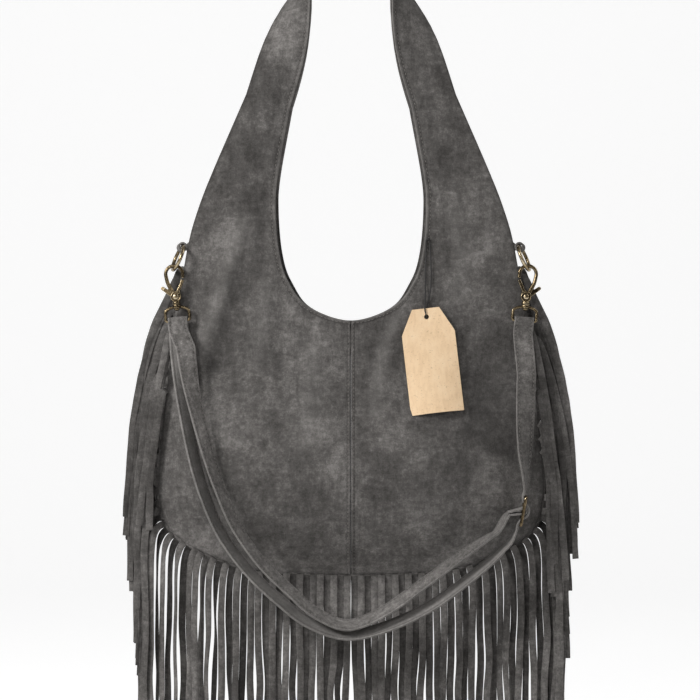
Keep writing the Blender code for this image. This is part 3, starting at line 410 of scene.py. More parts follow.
def ripple(points, wave, seed):
    """Smooth noise from -1 to 1 at each point, with waves of this length along each axis."""
    flatter = np.asarray(points).reshape(-1, 3) / np.array(wave) + seed * 7.31
    found = [noise.noise(Vector(p)) for p in flatter.tolist()]
    return np.array(found).reshape(np.asarray(points).shape[:-1])


# Folds that the photograph shows on the front: the line in x and z, how high it stands, and how wide it is.
# Their valleys also get painted shade and their ridges a painted highlight.
FOLDS = [(((-80, -262), (-88, -304), (-102, -345), (-113, -386), (-125, -418)), -3.4, 10.0),
         (((-99, -290), (-114, -335), (-129, -378), (-140, -410)), 2.6, 9.0),
         (((-64, -352), (-66.5, -386), (-64.5, -420)), -2.2, 5.5),
         (((-78, -345), (-84, -385), (-86, -420)), 1.8, 8.0),
         (((-38, -400), (-33, -440), (-41, -492)), 1.6, 11.0),
         (((44, -370), (33, -398), (26, -424), (22, -462)), 2.8, 5.5),
         (((33, -378), (19, -402), (13, -432)), -1.8, 6.0),
         (((52, -376), (44, -410), (40, -450)), -1.5, 9.0),
         (((96, -282), (104, -318), (99, -352)), 1.7, 9.0),
         (((118, -420), (122, -470), (108, -525)), -2.0, 15.0),
         (((132, -440), (100, -490), (84, -545)), -2.6, 30.0),
         (((-50, -545), (0, -548), (60, -545)), -1.6, 20.0),
         (((-150, -434), (-162, -436), (-172, -437)), -2.4, 6.0),
         (((-55, -150), (-66, -190), (-84, -232)), -1.6, 7.0),
         (((60, -130), (74, -182), (92, -240)), -1.3, 8.0)]


def bell(distance, middle, wide):
    """One at the middle distance, and less and less over the width on both sides of it."""
    return np.exp(-((distance - middle) / wide) ** 2)


def slump(points, to_edge, to_seam, to_middle, seed, folded):
    """How far folds, puckers and stitches push the skin outwards, with the painted shade of fold valleys and
    the painted highlight of fold ridges.
    """
    def rough(long, deep, high, step):
        return ripple(points, (long, deep, high), seed + step)

    x, z = points[..., 0], points[..., 2]
    to_rim = np.minimum(to_edge, to_seam)
    folds = rough(0.060, 0.09, 0.170, 0) * 2.6 + rough(0.034, 0.05, 0.055, 1) * 1.1
    horn = rough(0.026, 0.05, 0.090, 2) * 1.3 + rough(0.03, 0.03, 0.022, 3) * 0.35
    low = rough(0.016, 0.02, 0.018, 4) * 0.30
    puckered = 0.55 * np.exp(-to_seam / 0.009) + 0.30 * np.exp(-to_edge / 0.005)
    out = mix(horn * 0.8, folds, ease(-z, 0.20, 0.34)) * ease(to_rim, 0.0, 0.022)
    out = out + low * ease(to_rim, 0.0, 0.010) + rough(0.0105, 0.02, 0.0085, 5) * puckered
    out = out + 0.30 * bell(to_edge, 1.3 * MM, 1.3 * MM) - 0.50 * bell(to_edge, EDGE_STITCH, 0.9 * MM)
    out = out + 0.75 * bell(to_middle, 1.5 * MM, 1.5 * MM) - 0.95 * bell(to_middle, 0.0, 0.45 * MM)
    out = out - 0.45 * bell(to_middle, MIDDLE_STITCH, 0.75 * MM)
    painted_valley_shade, painted_ridge_highlight = 0.0 * x, 0.0 * x
    for line, height, wide in FOLDS if folded else ():
        near = bell(distance_to(np.array(flat(*line)), x, z), 0.0, wide * MM) * ease(to_edge, 0.0, 0.012)
        out = out + height * near
        # Fold valleys get painted shade and fold ridges a painted highlight, besides their relief.
        painted_valley_shade, painted_ridge_highlight = painted_valley_shade - min(height, 0.0) * near, painted_ridge_highlight + max(height, 0.0) * near
    return out * MM, painted_valley_shade * 0.16, painted_ridge_highlight * 0.11


EDGE_STITCH = 3.3 * MM
MIDDLE_STITCH = 2.95 * MM
NEAR_EDGE = np.array([0.0, 0.4, 0.9, 1.5, 2.2, 2.9, 3.6, 4.6, 6.4, 9.5]) * MM
NEAR_SEAM = np.array([8.0, 4.5, 2.4, 1.0, 0.0]) * MM
BETWEEN = 34
BACK_PEEK = 2.6 * MM
MIDDLE_TOP = -374.0 * MM
RIM_ROOM = 24.0 * MM
LINED_FADE = 16.0 * MM
TAG_X, TAG_Z, TAG_REACH, TAG_SWELL = 78.0 * MM, -425.0 * MM, 72.0 * MM, 0.2 * MM


def cloth_half(side, layer, seam_x, seed):
    """Both skins of one half: arrays of rows by columns, how pale each point is, at cut edges and with a
    painted highlight on fold ridges, and how dark, along seams and stitch grooves and with painted shade in
    fold valleys.
    """
    flat_runs = np.linspace(seam_x, ARCH_FLAT, 10)
    strap = [arch_row(abs(run)) for run in flat_runs]
    for (inner, outer, _), run in zip(strap, flat_runs):
        inner[0] = outer[0] = run
    strap += [arch_row(run) for run in np.linspace(ARCH_FLAT, HORN_END, 72)[1:]]
    strap_in, strap_out, strap_faces = (np.array(rows) for rows in zip(*strap))
    body_in = np.vstack((mouth_line[1:], centre_line[1:-1]))
    inner = np.vstack((strap_in, body_in))
    outer = np.vstack((strap_out, seam_line[1:-1]))
    faces = np.vstack((strap_faces, np.tile(FRONT, (len(body_in), 1))))
    if layer < 0:
        peek = ease(-inner[:, 2:], 0.10, 0.17) * (1.0 - ease(-inner[:, 2:], 0.345, 0.374))
        inner = inner - unit(outer - inner) * (BACK_PEEK * peek)
    width = np.linalg.norm(outer - inner, axis=1)[:, None]
    room = np.minimum(1.0, width / RIM_ROOM)
    start, end = NEAR_EDGE * room / width, 1.0 - NEAR_SEAM * room / width
    t = np.linspace(0.0, 1.0, BETWEEN + 2)[1:-1]
    u = np.hstack((start, mix(start[:, -1:], end[:, :1], t), end))
    points = mix(inner[:, None], outer[:, None], u[..., None])
    x, z = points[..., 0], points[..., 2]
    on_strap = (np.arange(len(inner)) < len(strap))[:, None]
    to_edge = np.where(on_strap, u * width, distance_to(mouth_line, x, z))
    to_seam = np.where(on_strap, (1.0 - u) * width, distance_to(seam_line, x, z))
    to_middle = np.where(z < MIDDLE_TOP, np.abs(x), 1.0)
    puff = HORN_PUFF * ease(np.minimum(u, 1.0 - u) * width, 0.0, HORN_EDGE_RUN) + CLOSED_GAP
    lift = np.where(on_strap, puff, open_depth(x, z) + seam_gap(z))
    points[..., 0] = np.where(on_strap, x, np.maximum(x, FIT / 2))
    points = points * np.array((side, 1.0, 1.0))
    x = points[..., 0]
    way = (faces * np.array((side, 1.0, 1.0)) * layer)[:, None]
    swell, painted_valley_shade, painted_ridge_highlight = slump(points, to_edge, to_seam, to_middle, seed, layer > 0)
    lined = (1.0 - ease(to_edge, FACING_WIDTH, FACING_WIDTH + LINED_FADE)) * (z < FACING_TOP + 5.0 * MM)
    swell = np.maximum(swell, -mix(lift * 0.5, 0.75 * FACING_EASE, lined))
    by_tag = np.exp(-(np.hypot(x - TAG_X, z - TAG_Z) / TAG_REACH) ** 6) * (layer > 0)
    swell = mix(swell, np.minimum(swell, TAG_SWELL), by_tag)
    outside = points + way * (lift + SUEDE + swell)[..., None]
    inside = points + way * (lift + np.minimum(swell, 0.6 * MM + swell * 0.5))[..., None]
    # Darker along the stitch grooves, the middle seam and the outer seam; the fold valleys' painted shade is
    # added to this, and the fold ridges' painted highlight to the paler cut edges.
    crease = (0.7 * bell(to_edge, EDGE_STITCH, 0.8 * MM) + bell(to_middle, 0.0, 0.45 * MM)
              + 0.6 * bell(to_middle, MIDDLE_STITCH, 0.7 * MM) + 0.7 * np.exp(-to_seam / (1.1 * MM)))
    return outside, inside, np.exp(-to_edge / (0.7 * MM)) * 0.45 + painted_ridge_highlight, np.clip(crease + painted_valley_shade, 0.0, 1.0)


def set_right(made, merge=True):
    """Merge doubles, where asked, and turn every face outwards."""
    bm = bmesh.new()
    bm.from_mesh(made.data)
    if merge:
        bmesh.ops.remove_doubles(bm, verts=bm.verts, dist=1e-6)
    bmesh.ops.recalc_face_normals(bm, faces=bm.faces)
    bm.to_mesh(made.data)
    bm.free()
    return made


def two_skins(name, outside, inside, material, bulge=0.35 * MM):
    """A closed piece from its outer and inner skin, with a rounded cut edge all round."""
    rows, columns = outside.shape[:2]
    places = np.arange(rows * columns).reshape(rows, columns)
    ring, inner = (np.concatenate((grid[0], grid[1:, -1], grid[-1, -2::-1], grid[-2:0:-1, 0]))
                   for grid in (places, np.pad(places[1:-1, 1:-1], 1, mode="edge")))
    middle = (outside + inside).reshape(-1, 3) / 2
    rim = middle[ring] + unit(middle[ring] - middle[inner]) * bulge
    points = np.vstack((outside.reshape(-1, 3), inside.reshape(-1, 3), rim))
    under, over = places.size, 2 * places.size
    quads = []
    for a in places[:-1, :-1].ravel().tolist():
        b = a + columns
        quads += [(a, a + 1, b + 1, b), (under + a, under + b, under + b + 1, under + a + 1)]
    for k, (a, b) in enumerate(zip(ring.tolist(), np.roll(ring, -1).tolist())):
        c, d = over + k, over + (k + 1) % len(ring)
        quads += [(b, a, c, d), (d, c, under + a, under + b)]
    return set_right(shape(name, points, quads, material), merge=False)


def wear(piece, **marks):
    """Store how pale and how dark each point is: paler at cut edges and with a painted highlight on fold
    ridges, darker along seams and stitch grooves and with painted shade in fold valleys and on fringe strips.
    """
    for name, amount in marks.items():
        mark = piece.data.attributes.new(name, "FLOAT", "POINT")
        mark.data.foreach_set("value", np.asarray(amount, np.float32))


# The side and layer of each half, how far it laps over the middle of the shoulder strap, and its seed
HALVES = {"front_left_panel": (-1, 1, SHOULDER_SEAM + FIT, 3.0),
          "front_right_panel": (1, 1, -SHOULDER_SEAM, 5.0),
          "back_left_panel": (-1, -1, -SHOULDER_SEAM, 8.0),
          "back_right_panel": (1, -1, SHOULDER_SEAM + FIT, 11.0)}
halves = {}
for panel_name, (side, layer, seam_x, seed) in HALVES.items():
    outside, inside, worn, crease = cloth_half(side, layer, seam_x, seed)
    halves[panel_name] = outside
    panel = two_skins(f"suede_{panel_name}", outside, inside, SUEDE_FACE)
    border = len(panel.data.vertices) - 2 * worn.size
    wear(panel, worn=np.concatenate((worn.ravel(), worn.ravel(), np.full(border, 0.8))),
         crease=np.concatenate((crease.ravel(), 0.3 * crease.ravel(), np.zeros(border))))
    settle(panel, "bag", panel_name)


# Facings and snap
# A dark suede strip lines the mouth edge of each layer, and the two halves of a magnetic snap sit on them
# under the middle of the mouth.
SNAP_PLACE = np.array((0.0, 0.0, -389.5)) * MM


def runs_along(line):
    """How far along the line each of its points lies."""
    return np.concatenate(([0.0], np.cumsum(np.linalg.norm(np.diff(line, axis=0), axis=1))))


def both_sides(line):
    """A line of the right half, run on over the middle and up the left half."""
    return np.vstack((line, line[-2::-1] * np.array((-1.0, 1.0, 1.0))))


for layer, name in ((1, "front_facing"), (-1, "back_facing")):
    line = both_sides(mouth_line[mouth_line[:, 2] < FACING_TOP])
    along = unit(np.gradient(line, axis=0))
    inwards = np.stack((-along[:, 2], 0.0 * along[:, 0], along[:, 0]), -1)
    share = np.concatenate(([0.0, 0.015, 0.04], np.linspace(0.08, 0.94, 12), [0.975, 1.0]))
    cloth = line[:, None] + inwards[:, None] * FACING_WIDTH * share[:, None]
    depth = seam_gap(cloth[..., 2]) + open_depth(cloth[..., 0], cloth[..., 2]) - FACING_EASE
    skins = [np.stack((cloth[..., 0], -layer * (depth - inset), cloth[..., 2]), -1)
             for inset in (0.0, FACING)]
    strip = two_skins(f"suede_{name}", *skins, SUEDE_LINING)
    wear(strip, worn=np.full(len(strip.data.vertices), 0.1))
    settle(strip, "bag", name)


# Metal shapes
# Wires, turned bodies and flat plates are made as closed shells. A casting is several shells grown into
# one, with small fillets where they meet, as brass is when it is cast and tumbled.
def ring_of(radius, sides):
    a = np.linspace(0.0, 2 * math.pi, sides, endpoint=False)
    return radius * np.cos(a), radius * np.sin(a)


def skin(sections, closed=False):
    """Points and faces of a shell over sections of equal count, with flat ends or joined end to end."""
    sections = np.asarray(sections, float)
    count, sides = sections.shape[:2]
    faces = []
    for r in range(count if closed else count - 1):
        a, b = r * sides, (r + 1) % count * sides
        faces += [(a + k, a + (k + 1) % sides, b + (k + 1) % sides, b + k) for k in range(sides)]
    if not closed:
        faces += [tuple(range(sides))[::-1], tuple(range((count - 1) * sides, count * sides))]
    return sections.reshape(-1, 3), faces


def wire(path, radius, sides=14, closed=False, up=(0.0, 0.0, 1.0)):
    """Round wire along a path. The radius is one number, or one for each point."""
    path = np.asarray(path, float)
    if closed:
        along = unit(np.roll(path, -1, axis=0) - np.roll(path, 1, axis=0))
    else:
        along = unit(np.gradient(path, axis=0))
    side = unit(np.cross(along, up))
    rise = np.cross(side, along)
    c, s = ring_of(1.0, sides)
    size = np.broadcast_to(radius, len(path))[:, None, None]
    return skin(path[:, None] + size * (side[:, None] * c[:, None] + rise[:, None] * s[:, None]), closed)


def turned(profile, sides=32, closed=False):
    """A shell turned about the v axis from (radius, v) points."""
    c, s = ring_of(1.0, sides)
    return skin([np.stack((r * c, np.full(sides, v), r * s), -1) for r, v in profile], closed)


def prism(outline, back, front):
    """A flat outline in u and v, thick from back to front along w."""
    flat_ring = np.asarray(outline, float)
    return skin([np.column_stack((flat_ring, np.full(len(flat_ring), w))) for w in (back, front)])


def moved(shell, axes, place=(0.0, 0.0, 0.0)):
    """A shell with its own axes laid along the given ones, at a place."""
    return shell[0] @ np.asarray(axes, float) + np.asarray(place, float), shell[1]


def joined(shells):
    points, faces, count = [], [], 0
    for found, ring in shells:
        points.append(found)
        faces += [tuple(k + count for k in face) for face in ring]
        count += len(found)
    return np.vstack(points), faces


def finished(made):
    """Turn an object's modifiers into plain mesh."""
    done = bpy.data.meshes.new_from_object(made.evaluated_get(bpy.context.evaluated_depsgraph_get()))
    made.modifiers.clear()
    made.data = done
    done.shade_smooth()
    return made


def casting(name, shells, material, grain=0.28 * MM, rounds=4):
    """Shells grown into one cast piece, with softened edges."""
    made = set_right(shape(name, *joined(shells), material))
    grown = made.modifiers.new("grow", "REMESH")
    grown.mode = "VOXEL"
    grown.voxel_size = grain
    soft = made.modifiers.new("soften", "SMOOTH")
    soft.factor = 0.5
    soft.iterations = rounds
    return finished(made)


brass = Finish("antique_brass")
tarnish = brass.noise(95.0, 4.0, 0.6, 0.4)
speck = brass.noise(900.0, 2.0, 0.6)
rub = brass.add("ShaderNodeNewGeometry", out="Pointiness")
worn_edge = brass.add("ShaderNodeMapRange", {}, {"Value": rub, "From Min": 0.495, "From Max": 0.545})
brass_tone = tarnish * 0.75 + speck * 0.18 + worn_edge * 0.42 - 0.17
brass_face = brass.ramp(brass_tone, [(0.20, (0.028, 0.021, 0.014)), (0.44, (0.150, 0.112, 0.064)),
                                     (0.68, (0.400, 0.320, 0.200)), (0.92, (0.86, 0.78, 0.62))])
brass.surface(Base_Color=brass_face, Roughness=tarnish * 0.26 + speck * 0.12 + 0.08, Metallic=1.0,
              Normal=brass.bump(tarnish * 0.7 + speck * 0.3, 0.10 * MM))

SOCKET_THICK, PLATE_THICK, HOLE_FLOOR = 2.8 * MM, 1.5 * MM, 1.2 * MM
STUD_RADIUS = 2.5 * MM
AXLE = 0.05 * MM
snap_back = (SOCKET_THICK + PLATE_THICK + 3 * FIT) / 2
socket_back, plate_back = snap_back - FIT, FIT - snap_back
socket_front, plate_front = socket_back - SOCKET_THICK, plate_back + PLATE_THICK
hole_end, stud_end = snap_back - HOLE_FLOOR, plate_front + FIT + SOCKET_THICK - HOLE_FLOOR
SOCKET = [(AXLE, socket_back), (SNAP_RADIUS - 0.3 * MM, socket_back), (SNAP_RADIUS, socket_back - 0.4 * MM),
          (SNAP_RADIUS - 0.1 * MM, socket_front + 0.5 * MM), (SNAP_RADIUS - 0.7 * MM, socket_front),
          (STUD_RADIUS + 0.7 * MM, socket_front), (STUD_RADIUS + FIT, socket_front + 0.4 * MM),
          (STUD_RADIUS + FIT, hole_end), (AXLE, hole_end)]
STUD = [(AXLE, plate_back), (SNAP_RADIUS - 0.2 * MM, plate_back), (SNAP_RADIUS, plate_back + 0.3 * MM),
        (SNAP_RADIUS - 0.1 * MM, plate_front - 0.4 * MM), (SNAP_RADIUS - 0.6 * MM, plate_front),
        (STUD_RADIUS + 0.2 * MM, plate_front), (STUD_RADIUS, plate_front + 0.2 * MM),
        (STUD_RADIUS, stud_end - 0.5 * MM), (STUD_RADIUS - 0.5 * MM, stud_end), (AXLE, stud_end)]
for name, outline in (("snap_socket", SOCKET), ("snap_stud", STUD)):
    shell = moved(turned(outline, 40), np.eye(3), SNAP_PLACE)
    snap = set_right(shape(f"brass_{name}", *shell, brass.material))
    snap.data.set_sharp_from_angle(angle=math.radians(40.0))
    settle(snap, "bag", name)


# Rings, clasps and D-loops
# The ring hangs from its suede tab, the clasp's hook hangs in the ring, and the D-loop turns on the post
# under the clasp. Each is worked out on the right and mirrored to the left. The clasp's own axes run
# outwards, up and to the front from its rivet.
TAB_EYE = np.array((156.4, 0.0, -309.6)) * MM
RING_RADIUS = 11.7 * MM
RING_WIRE = 1.7 * MM
HOOK_WIRE = 1.65 * MM
HOOK_EYE = 7.8 * MM
HOOK_REACH = 25.5 * MM
BOSS_RADIUS = 4.9 * MM
BOSS_FRONT = 2.6 * MM
RIVET_RADIUS = 1.3 * MM
RIVET_HEAD = 2.6 * MM
GATE_PLATE = 1.5 * MM
GATE_REACH = 17.0 * MM
COLLAR_RADIUS = 3.8 * MM
COLLAR_TOP = -4.0 * MM
COLLAR_LOW = -7.4 * MM
POST_RADIUS = 1.6 * MM
POST_HEAD = 2.7 * MM
LOOP_WIRE = 1.4 * MM
EYELET_HEIGHT = 3.2 * MM
LOOP_TOP = COLLAR_LOW - FIT - EYELET_HEIGHT / 2
LOOP_SHOULDER = 5.0 * MM
LOOP_BAR_V = LOOP_TOP - 13.0 * MM
STRAP_WIDTH = 18.0 * MM
STRAP_THICK = 2.0 * MM
LOOP_HALF_WIDTH = STRAP_WIDTH / 2 + 2 * FIT + LOOP_WIRE


def sine(degrees):
    return math.sin(math.radians(degrees))


def cosine(degrees):
    return math.cos(math.radians(degrees))


ring_up = unit((-sine(20), sine(19), 1.0))
ring_along = np.array((sine(16), cosine(16), 0.0))
ring_along = unit(ring_along - ring_up * (ring_along @ ring_up))
ring_centre = TAB_EYE - ring_up * RING_RADIUS
clasp_up = unit((sine(5), sine(6), 1.0))
clasp_out = unit((1.0, 0.0, -clasp_up[0] / clasp_up[2]))
clasp_front = unit(np.cross(clasp_out, clasp_up))
clasp_axes = np.array((clasp_out, clasp_up, clasp_front))
rivet_at = ring_centre - ring_up * RING_RADIUS - clasp_up * HOOK_REACH


def arc(radius, degrees, centre=(0.0, 0.0)):
    """Points on an arc, in u and v."""
    a = np.radians(degrees)
    return np.column_stack((centre[0] + radius * np.cos(a), centre[1] + radius * np.sin(a)))


def raised(outline, w=0.0):
    """An outline in u and v as points in space, w to the front."""
    return np.column_stack((outline, np.full(len(outline), w)))


def hook_shells():
    """The cast hook: its bent wire, the boss for the rivet, and the swivel post with its collar."""
    top = HOOK_REACH + RING_WIRE + HOOK_WIRE + FIT - HOOK_EYE
    eye = arc(HOOK_EYE, np.arange(-10.0, 192.0, 10.0), (0.0, top))
    shank = np.array(((1.6, 2.5), (4.0, 7.5), (6.6, 13.5))) * MM
    tip = np.array(((-HOOK_EYE * 1.01, top - 4.2 * MM),))
    path = curve_through(raised(np.vstack((shank, eye, tip))), 3)
    taper = np.interp(np.arange(len(path)), [0, 8, 16, len(path) - 10, len(path) - 1],
                      np.array((2.1, 1.75, 1.65, 1.62, 1.45)) * MM)
    low = COLLAR_LOW - EYELET_HEIGHT - 2 * FIT
    post = turned([(0.1 * MM, COLLAR_TOP + 1.4 * MM), (1.9 * MM, COLLAR_TOP + 1.2 * MM),
                   (2.7 * MM, COLLAR_TOP), (COLLAR_RADIUS, COLLAR_TOP - 1.1 * MM),
                   (COLLAR_RADIUS, COLLAR_LOW + 0.2 * MM), (COLLAR_RADIUS - 0.3 * MM, COLLAR_LOW),
                   (POST_RADIUS, COLLAR_LOW), (POST_RADIUS, low), (POST_HEAD, low),
                   (POST_HEAD * 0.8, low - 1.2 * MM), (POST_HEAD * 0.3, low - 1.8 * MM)], 28)
    around = np.arange(0.0, 360.0, 10.0)
    boss = prism(arc(BOSS_RADIUS, around), -HOOK_WIRE, BOSS_FRONT - 0.2 * MM)
    rim = raised(arc(BOSS_RADIUS - 0.55 * MM, around), BOSS_FRONT - 0.4 * MM)
    return [wire(path, taper, 16), boss, wire(rim, 0.5 * MM, 10, True), post]


def gate_shells():
    """The gate: a plate behind the boss with its thumb lever, and the bar that closes the hook."""
    back, front = -HOOK_WIRE - FIT - GATE_PLATE, -HOOK_WIRE - FIT
    arm_way = np.array((-sine(26.6), cosine(26.6)))
    arm_side = np.array((arm_way[1], -arm_way[0]))
    lever_way = np.array((cosine(38.0), sine(38.0)))
    lever_side = np.array((-lever_way[1], lever_way[0]))
    foot = BOSS_RADIUS + FIT
    lobe = arm_way * (foot + 3.1 * MM)
    thumb = lever_way * 14.9 * MM
    pad = [thumb + (lever_way * cosine(a) + lever_side * sine(a)) * 1.7 * MM for a in range(-90, 91, 15)]
    hub = [*pad, lever_way * 6.0 * MM + lever_side * 1.9 * MM, unit(lever_way + arm_way) * 4.2 * MM,
           lobe + arm_side * 1.4 * MM, lobe - arm_side * 1.4 * MM,
           *arc(RIVET_RADIUS + FIT + 1.6 * MM, np.arange(168.0, 359.0, 12.0))]

    def bar(start, end, half, low, high):
        near, far = arm_side * half, arm_side * half * 0.85
        return prism([arm_way * start - near, arm_way * start + near, arm_way * end + far,
                      arm_way * end - far], low, high)

    ridges = []
    for step in (-1.6, -0.4, 0.8):
        ends = [thumb + lever_way * (step * MM) + lever_side * end * MM for end in (-1.2, 1.2)]
        ridges.append(wire(raised(ends, front), 0.32 * MM, 10))
    return [prism(hub, back, front), bar(foot, GATE_REACH, 1.45 * MM, -1.5 * MM, 1.4 * MM),
            bar(foot + 0.1 * MM, foot + 3.0 * MM, 1.3 * MM, back + 0.2 * MM, 0.5 * MM), *ridges]


def rivet_shells():
    """The rivet through the boss and the gate, with a domed head in front."""
    back, front = -HOOK_WIRE - 2 * FIT - GATE_PLATE, BOSS_FRONT + 0.5 * FIT
    tail = [(0.1 * MM, back - 0.9 * MM), (RIVET_HEAD * 0.7, back - 0.8 * MM),
            (RIVET_HEAD, back - 0.4 * MM), (RIVET_HEAD, back)]
    dome = [(RIVET_HEAD * wide, front + high * MM)
            for wide, high in ((1.0, 0.0), (0.97, 0.3), (0.8, 0.65), (0.5, 0.95), (0.2, 1.05))]
    pin = turned([*tail, (RIVET_RADIUS, back), (RIVET_RADIUS, front), *dome, (0.1 * MM, front + 1.07 * MM)])
    return [moved(pin, ((1.0, 0.0, 0.0), (0.0, 0.0, 1.0), (0.0, -1.0, 0.0)))]


def loop_shells():
    """The D-loop: a bent wire round the strap, and the eyelet that turns on the clasp's post."""
    bend = LOOP_HALF_WIDTH - STRAP_WIDTH / 2
    angles = np.radians(np.arange(0.0, 91.0, 9.0))
    right = np.column_stack((LOOP_HALF_WIDTH * np.sin(angles),
                             LOOP_TOP - LOOP_SHOULDER * (1.0 - np.cos(angles))))
    corner = (LOOP_HALF_WIDTH - bend, LOOP_BAR_V + bend)
    right = np.vstack((right, arc(bend, np.arange(0.0, -91.0, -15.0), corner)))
    bar = np.column_stack((np.linspace(corner[0], 0.0, 8)[1:], np.full(7, LOOP_BAR_V)))
    right = np.vstack((right, bar))
    path = np.vstack((right, right[-2:0:-1] * np.array((-1.0, 1.0))))
    half = EYELET_HEIGHT / 2
    eyelet = [(POST_RADIUS + FIT, LOOP_TOP - half), (COLLAR_RADIUS - 0.5 * MM, LOOP_TOP - half),
              (COLLAR_RADIUS, LOOP_TOP - half + 0.5 * MM), (COLLAR_RADIUS, LOOP_TOP + half - 0.5 * MM),
              (COLLAR_RADIUS - 0.5 * MM, LOOP_TOP + half), (POST_RADIUS + FIT, LOOP_TOP + half)]
    cut = (np.abs(path[:, 0]) > POST_RADIUS + 0.5 * MM) | (path[:, 1] < LOOP_TOP - LOOP_SHOULDER)
    order = np.roll(np.arange(len(path)), -int(np.argmax(cut)))
    return [wire(raised(path[order[cut[order]]]), LOOP_WIRE, 16), turned(eyelet, 30, True)]


def tab_shells():
    """Rolled suede loop round the ring, and its neck, folded flat where it goes into the side seam."""
    inside, outside, half = RING_WIRE + 0.8 * MM, RING_WIRE + 2.8 * MM, 3.5 * MM
    soft = 0.7 * MM
    corner = arc(soft, np.arange(0.0, 91.0, 30.0))
    ring = np.vstack((corner + (outside - soft, half - soft),
                      corner[::-1] * (-1, 1) + (inside + soft, half - soft),
                      corner * (-1, -1) + (inside + soft, soft - half),
                      corner[::-1] * (1, -1) + (outside - soft, soft - half)))
    eye = TAB_EYE - ring_up * 0.3 * MM
    loop = moved(turned(ring, 36, True), (np.cross(ring_along, ring_up), ring_along, ring_up), eye)
    seam_x = float(np.interp(-TAB_EYE[2], -seam_line[:SEAM_SIDE, 2], seam_line[:SEAM_SIDE, 0]))
    sizes = [(seam_x - 3.0 * MM, 0.8, 5.0), (seam_x, 1.2, 4.6), (eye[0] - inside - 1.6 * MM, 2.3, 3.0),
             (eye[0] - inside - 0.5 * MM, 2.4, 2.8)]
    c, s = ring_of(MM, 20)
    neck = skin([np.stack((np.full(20, x), c * deep, eye[2] + s * high), -1) for x, deep, high in sizes])
    return [loop, neck]


turns = np.linspace(0.0, 2 * math.pi, 72, endpoint=False)[:, None]
ring_path = ring_centre + (ring_up * np.cos(turns) + ring_along * np.sin(turns)) * RING_RADIUS
ring_shell = wire(ring_path, RING_WIRE, 20, True, np.cross(ring_along, ring_up))
# Name, solid and body of each piece, its shells, whether they lie in the clasp's own axes, and how finely a
# casting is grown and how often it is softened
CLASP_PIECES = [("suede_tab", "ring_tab", "strap", tab_shells(), False, (0.3 * MM, 3)),
                ("brass_ring", "ring", "ring_{}", [ring_shell], False, None),
                ("brass_hook", "hook", "clasp_{}", hook_shells(), True, (0.27 * MM, 4)),
                ("brass_gate", "gate", "gate_{}", gate_shells(), True, (0.25 * MM, 3)),
                ("brass_rivet", "rivet", "clasp_{}", rivet_shells(), True, None),
                ("brass_d_loop", "d_loop", "strap", loop_shells(), True, (0.27 * MM, 4))]
for hand, side in (("left", -1), ("right", 1)):
    for name, solid, body, shells, own_axes, cast in CLASP_PIECES:
        slot, material = ("suede", PAINTED_LIGHTER_STRAP_SUEDE) if solid == "ring_tab" else ("brass", brass.material)
        if own_axes:
            shells = [moved(shell, clasp_axes, rivet_at) for shell in shells]
        shells = [(points * np.array((side, 1.0, 1.0)), faces) for points, faces in shells]
        if cast:
            made = casting(f"{name}_{hand}", shells, material, *cast)
        else:
            made = set_right(shape(f"{name}_{hand}", *joined(shells), material))
        settle(made, body.format(hand), f"{solid}_{hand}")


# Fringe
# One comb of suede strips is sewn into each stretch of the outer seam. A node tree turns a line with marks
# for its face and size into a strip with soft corners, so every strip hangs, turns and ends its own way.
class Grower(Graph):
    """A Geometry Nodes tree with named inputs, which turns marked lines into pieces."""

    def __init__(self, name, **kinds):
        super().__init__(bpy.data.node_groups.new(name, "GeometryNodeTree"))
        sockets = self.tree.interface
        sockets.new_socket("Lines", in_out="INPUT", socket_type="NodeSocketGeometry")
        self.slots = {}
        for key, kind in kinds.items():
            socket = sockets.new_socket(key, in_out="INPUT", socket_type=f"NodeSocket{kind}")
            self.slots[key] = socket.identifier
        sockets.new_socket("Pieces", in_out="OUTPUT", socket_type="NodeSocketGeometry")
        self.given = self.tree.nodes.new("NodeGroupInput")
        self.result = self.tree.nodes.new("NodeGroupOutput")
        self.curve = self.add("GeometryNodeMeshToCurve", {}, {"Mesh": self.input("Lines")})

    def input(self, name):
        return Value(self.tree, self.given.outputs[name])

    def mark(self, name, kind):
        return self.add("GeometryNodeInputNamedAttribute", {"data_type": kind}, {"Name": name})

    def close(self, pieces):
        real = self.add("GeometryNodeRealizeInstances", {}, {"Geometry": pieces})
        values = {"Geometry": real, "Material": self.input("Material")}
        done = self.add("GeometryNodeSetMaterial", {}, values)
        self.tree.links.new(done.socket, self.result.inputs[0])

    def grow(self, name, lines, marks, **values):
        """Run the tree on lists of points, with a list of arrays for each mark, and keep the plain mesh."""
        points = np.vstack(lines)
        starts = np.cumsum([0, *[len(line) for line in lines]])
        edges = [(k, k + 1) for a, b in zip(starts, starts[1:]) for k in range(a, b - 1)]
        mesh = bpy.data.meshes.new(name)
        mesh.from_pydata(points.tolist(), edges, [])
        for key, arrays in marks.items():
            found = np.concatenate(arrays)
            kind, field = ("FLOAT_VECTOR", "vector") if found.ndim == 2 else ("FLOAT", "value")
            mark = mesh.attributes.new(key, kind, "POINT")
            mark.data.foreach_set(field, found.astype(np.float32).ravel())
        made = linked(name, mesh)
        run = made.modifiers.new("grow", "NODES")
        run.node_group = self.tree
        for key, value in values.items():
            run[self.slots[key]] = value
        return finished(made)


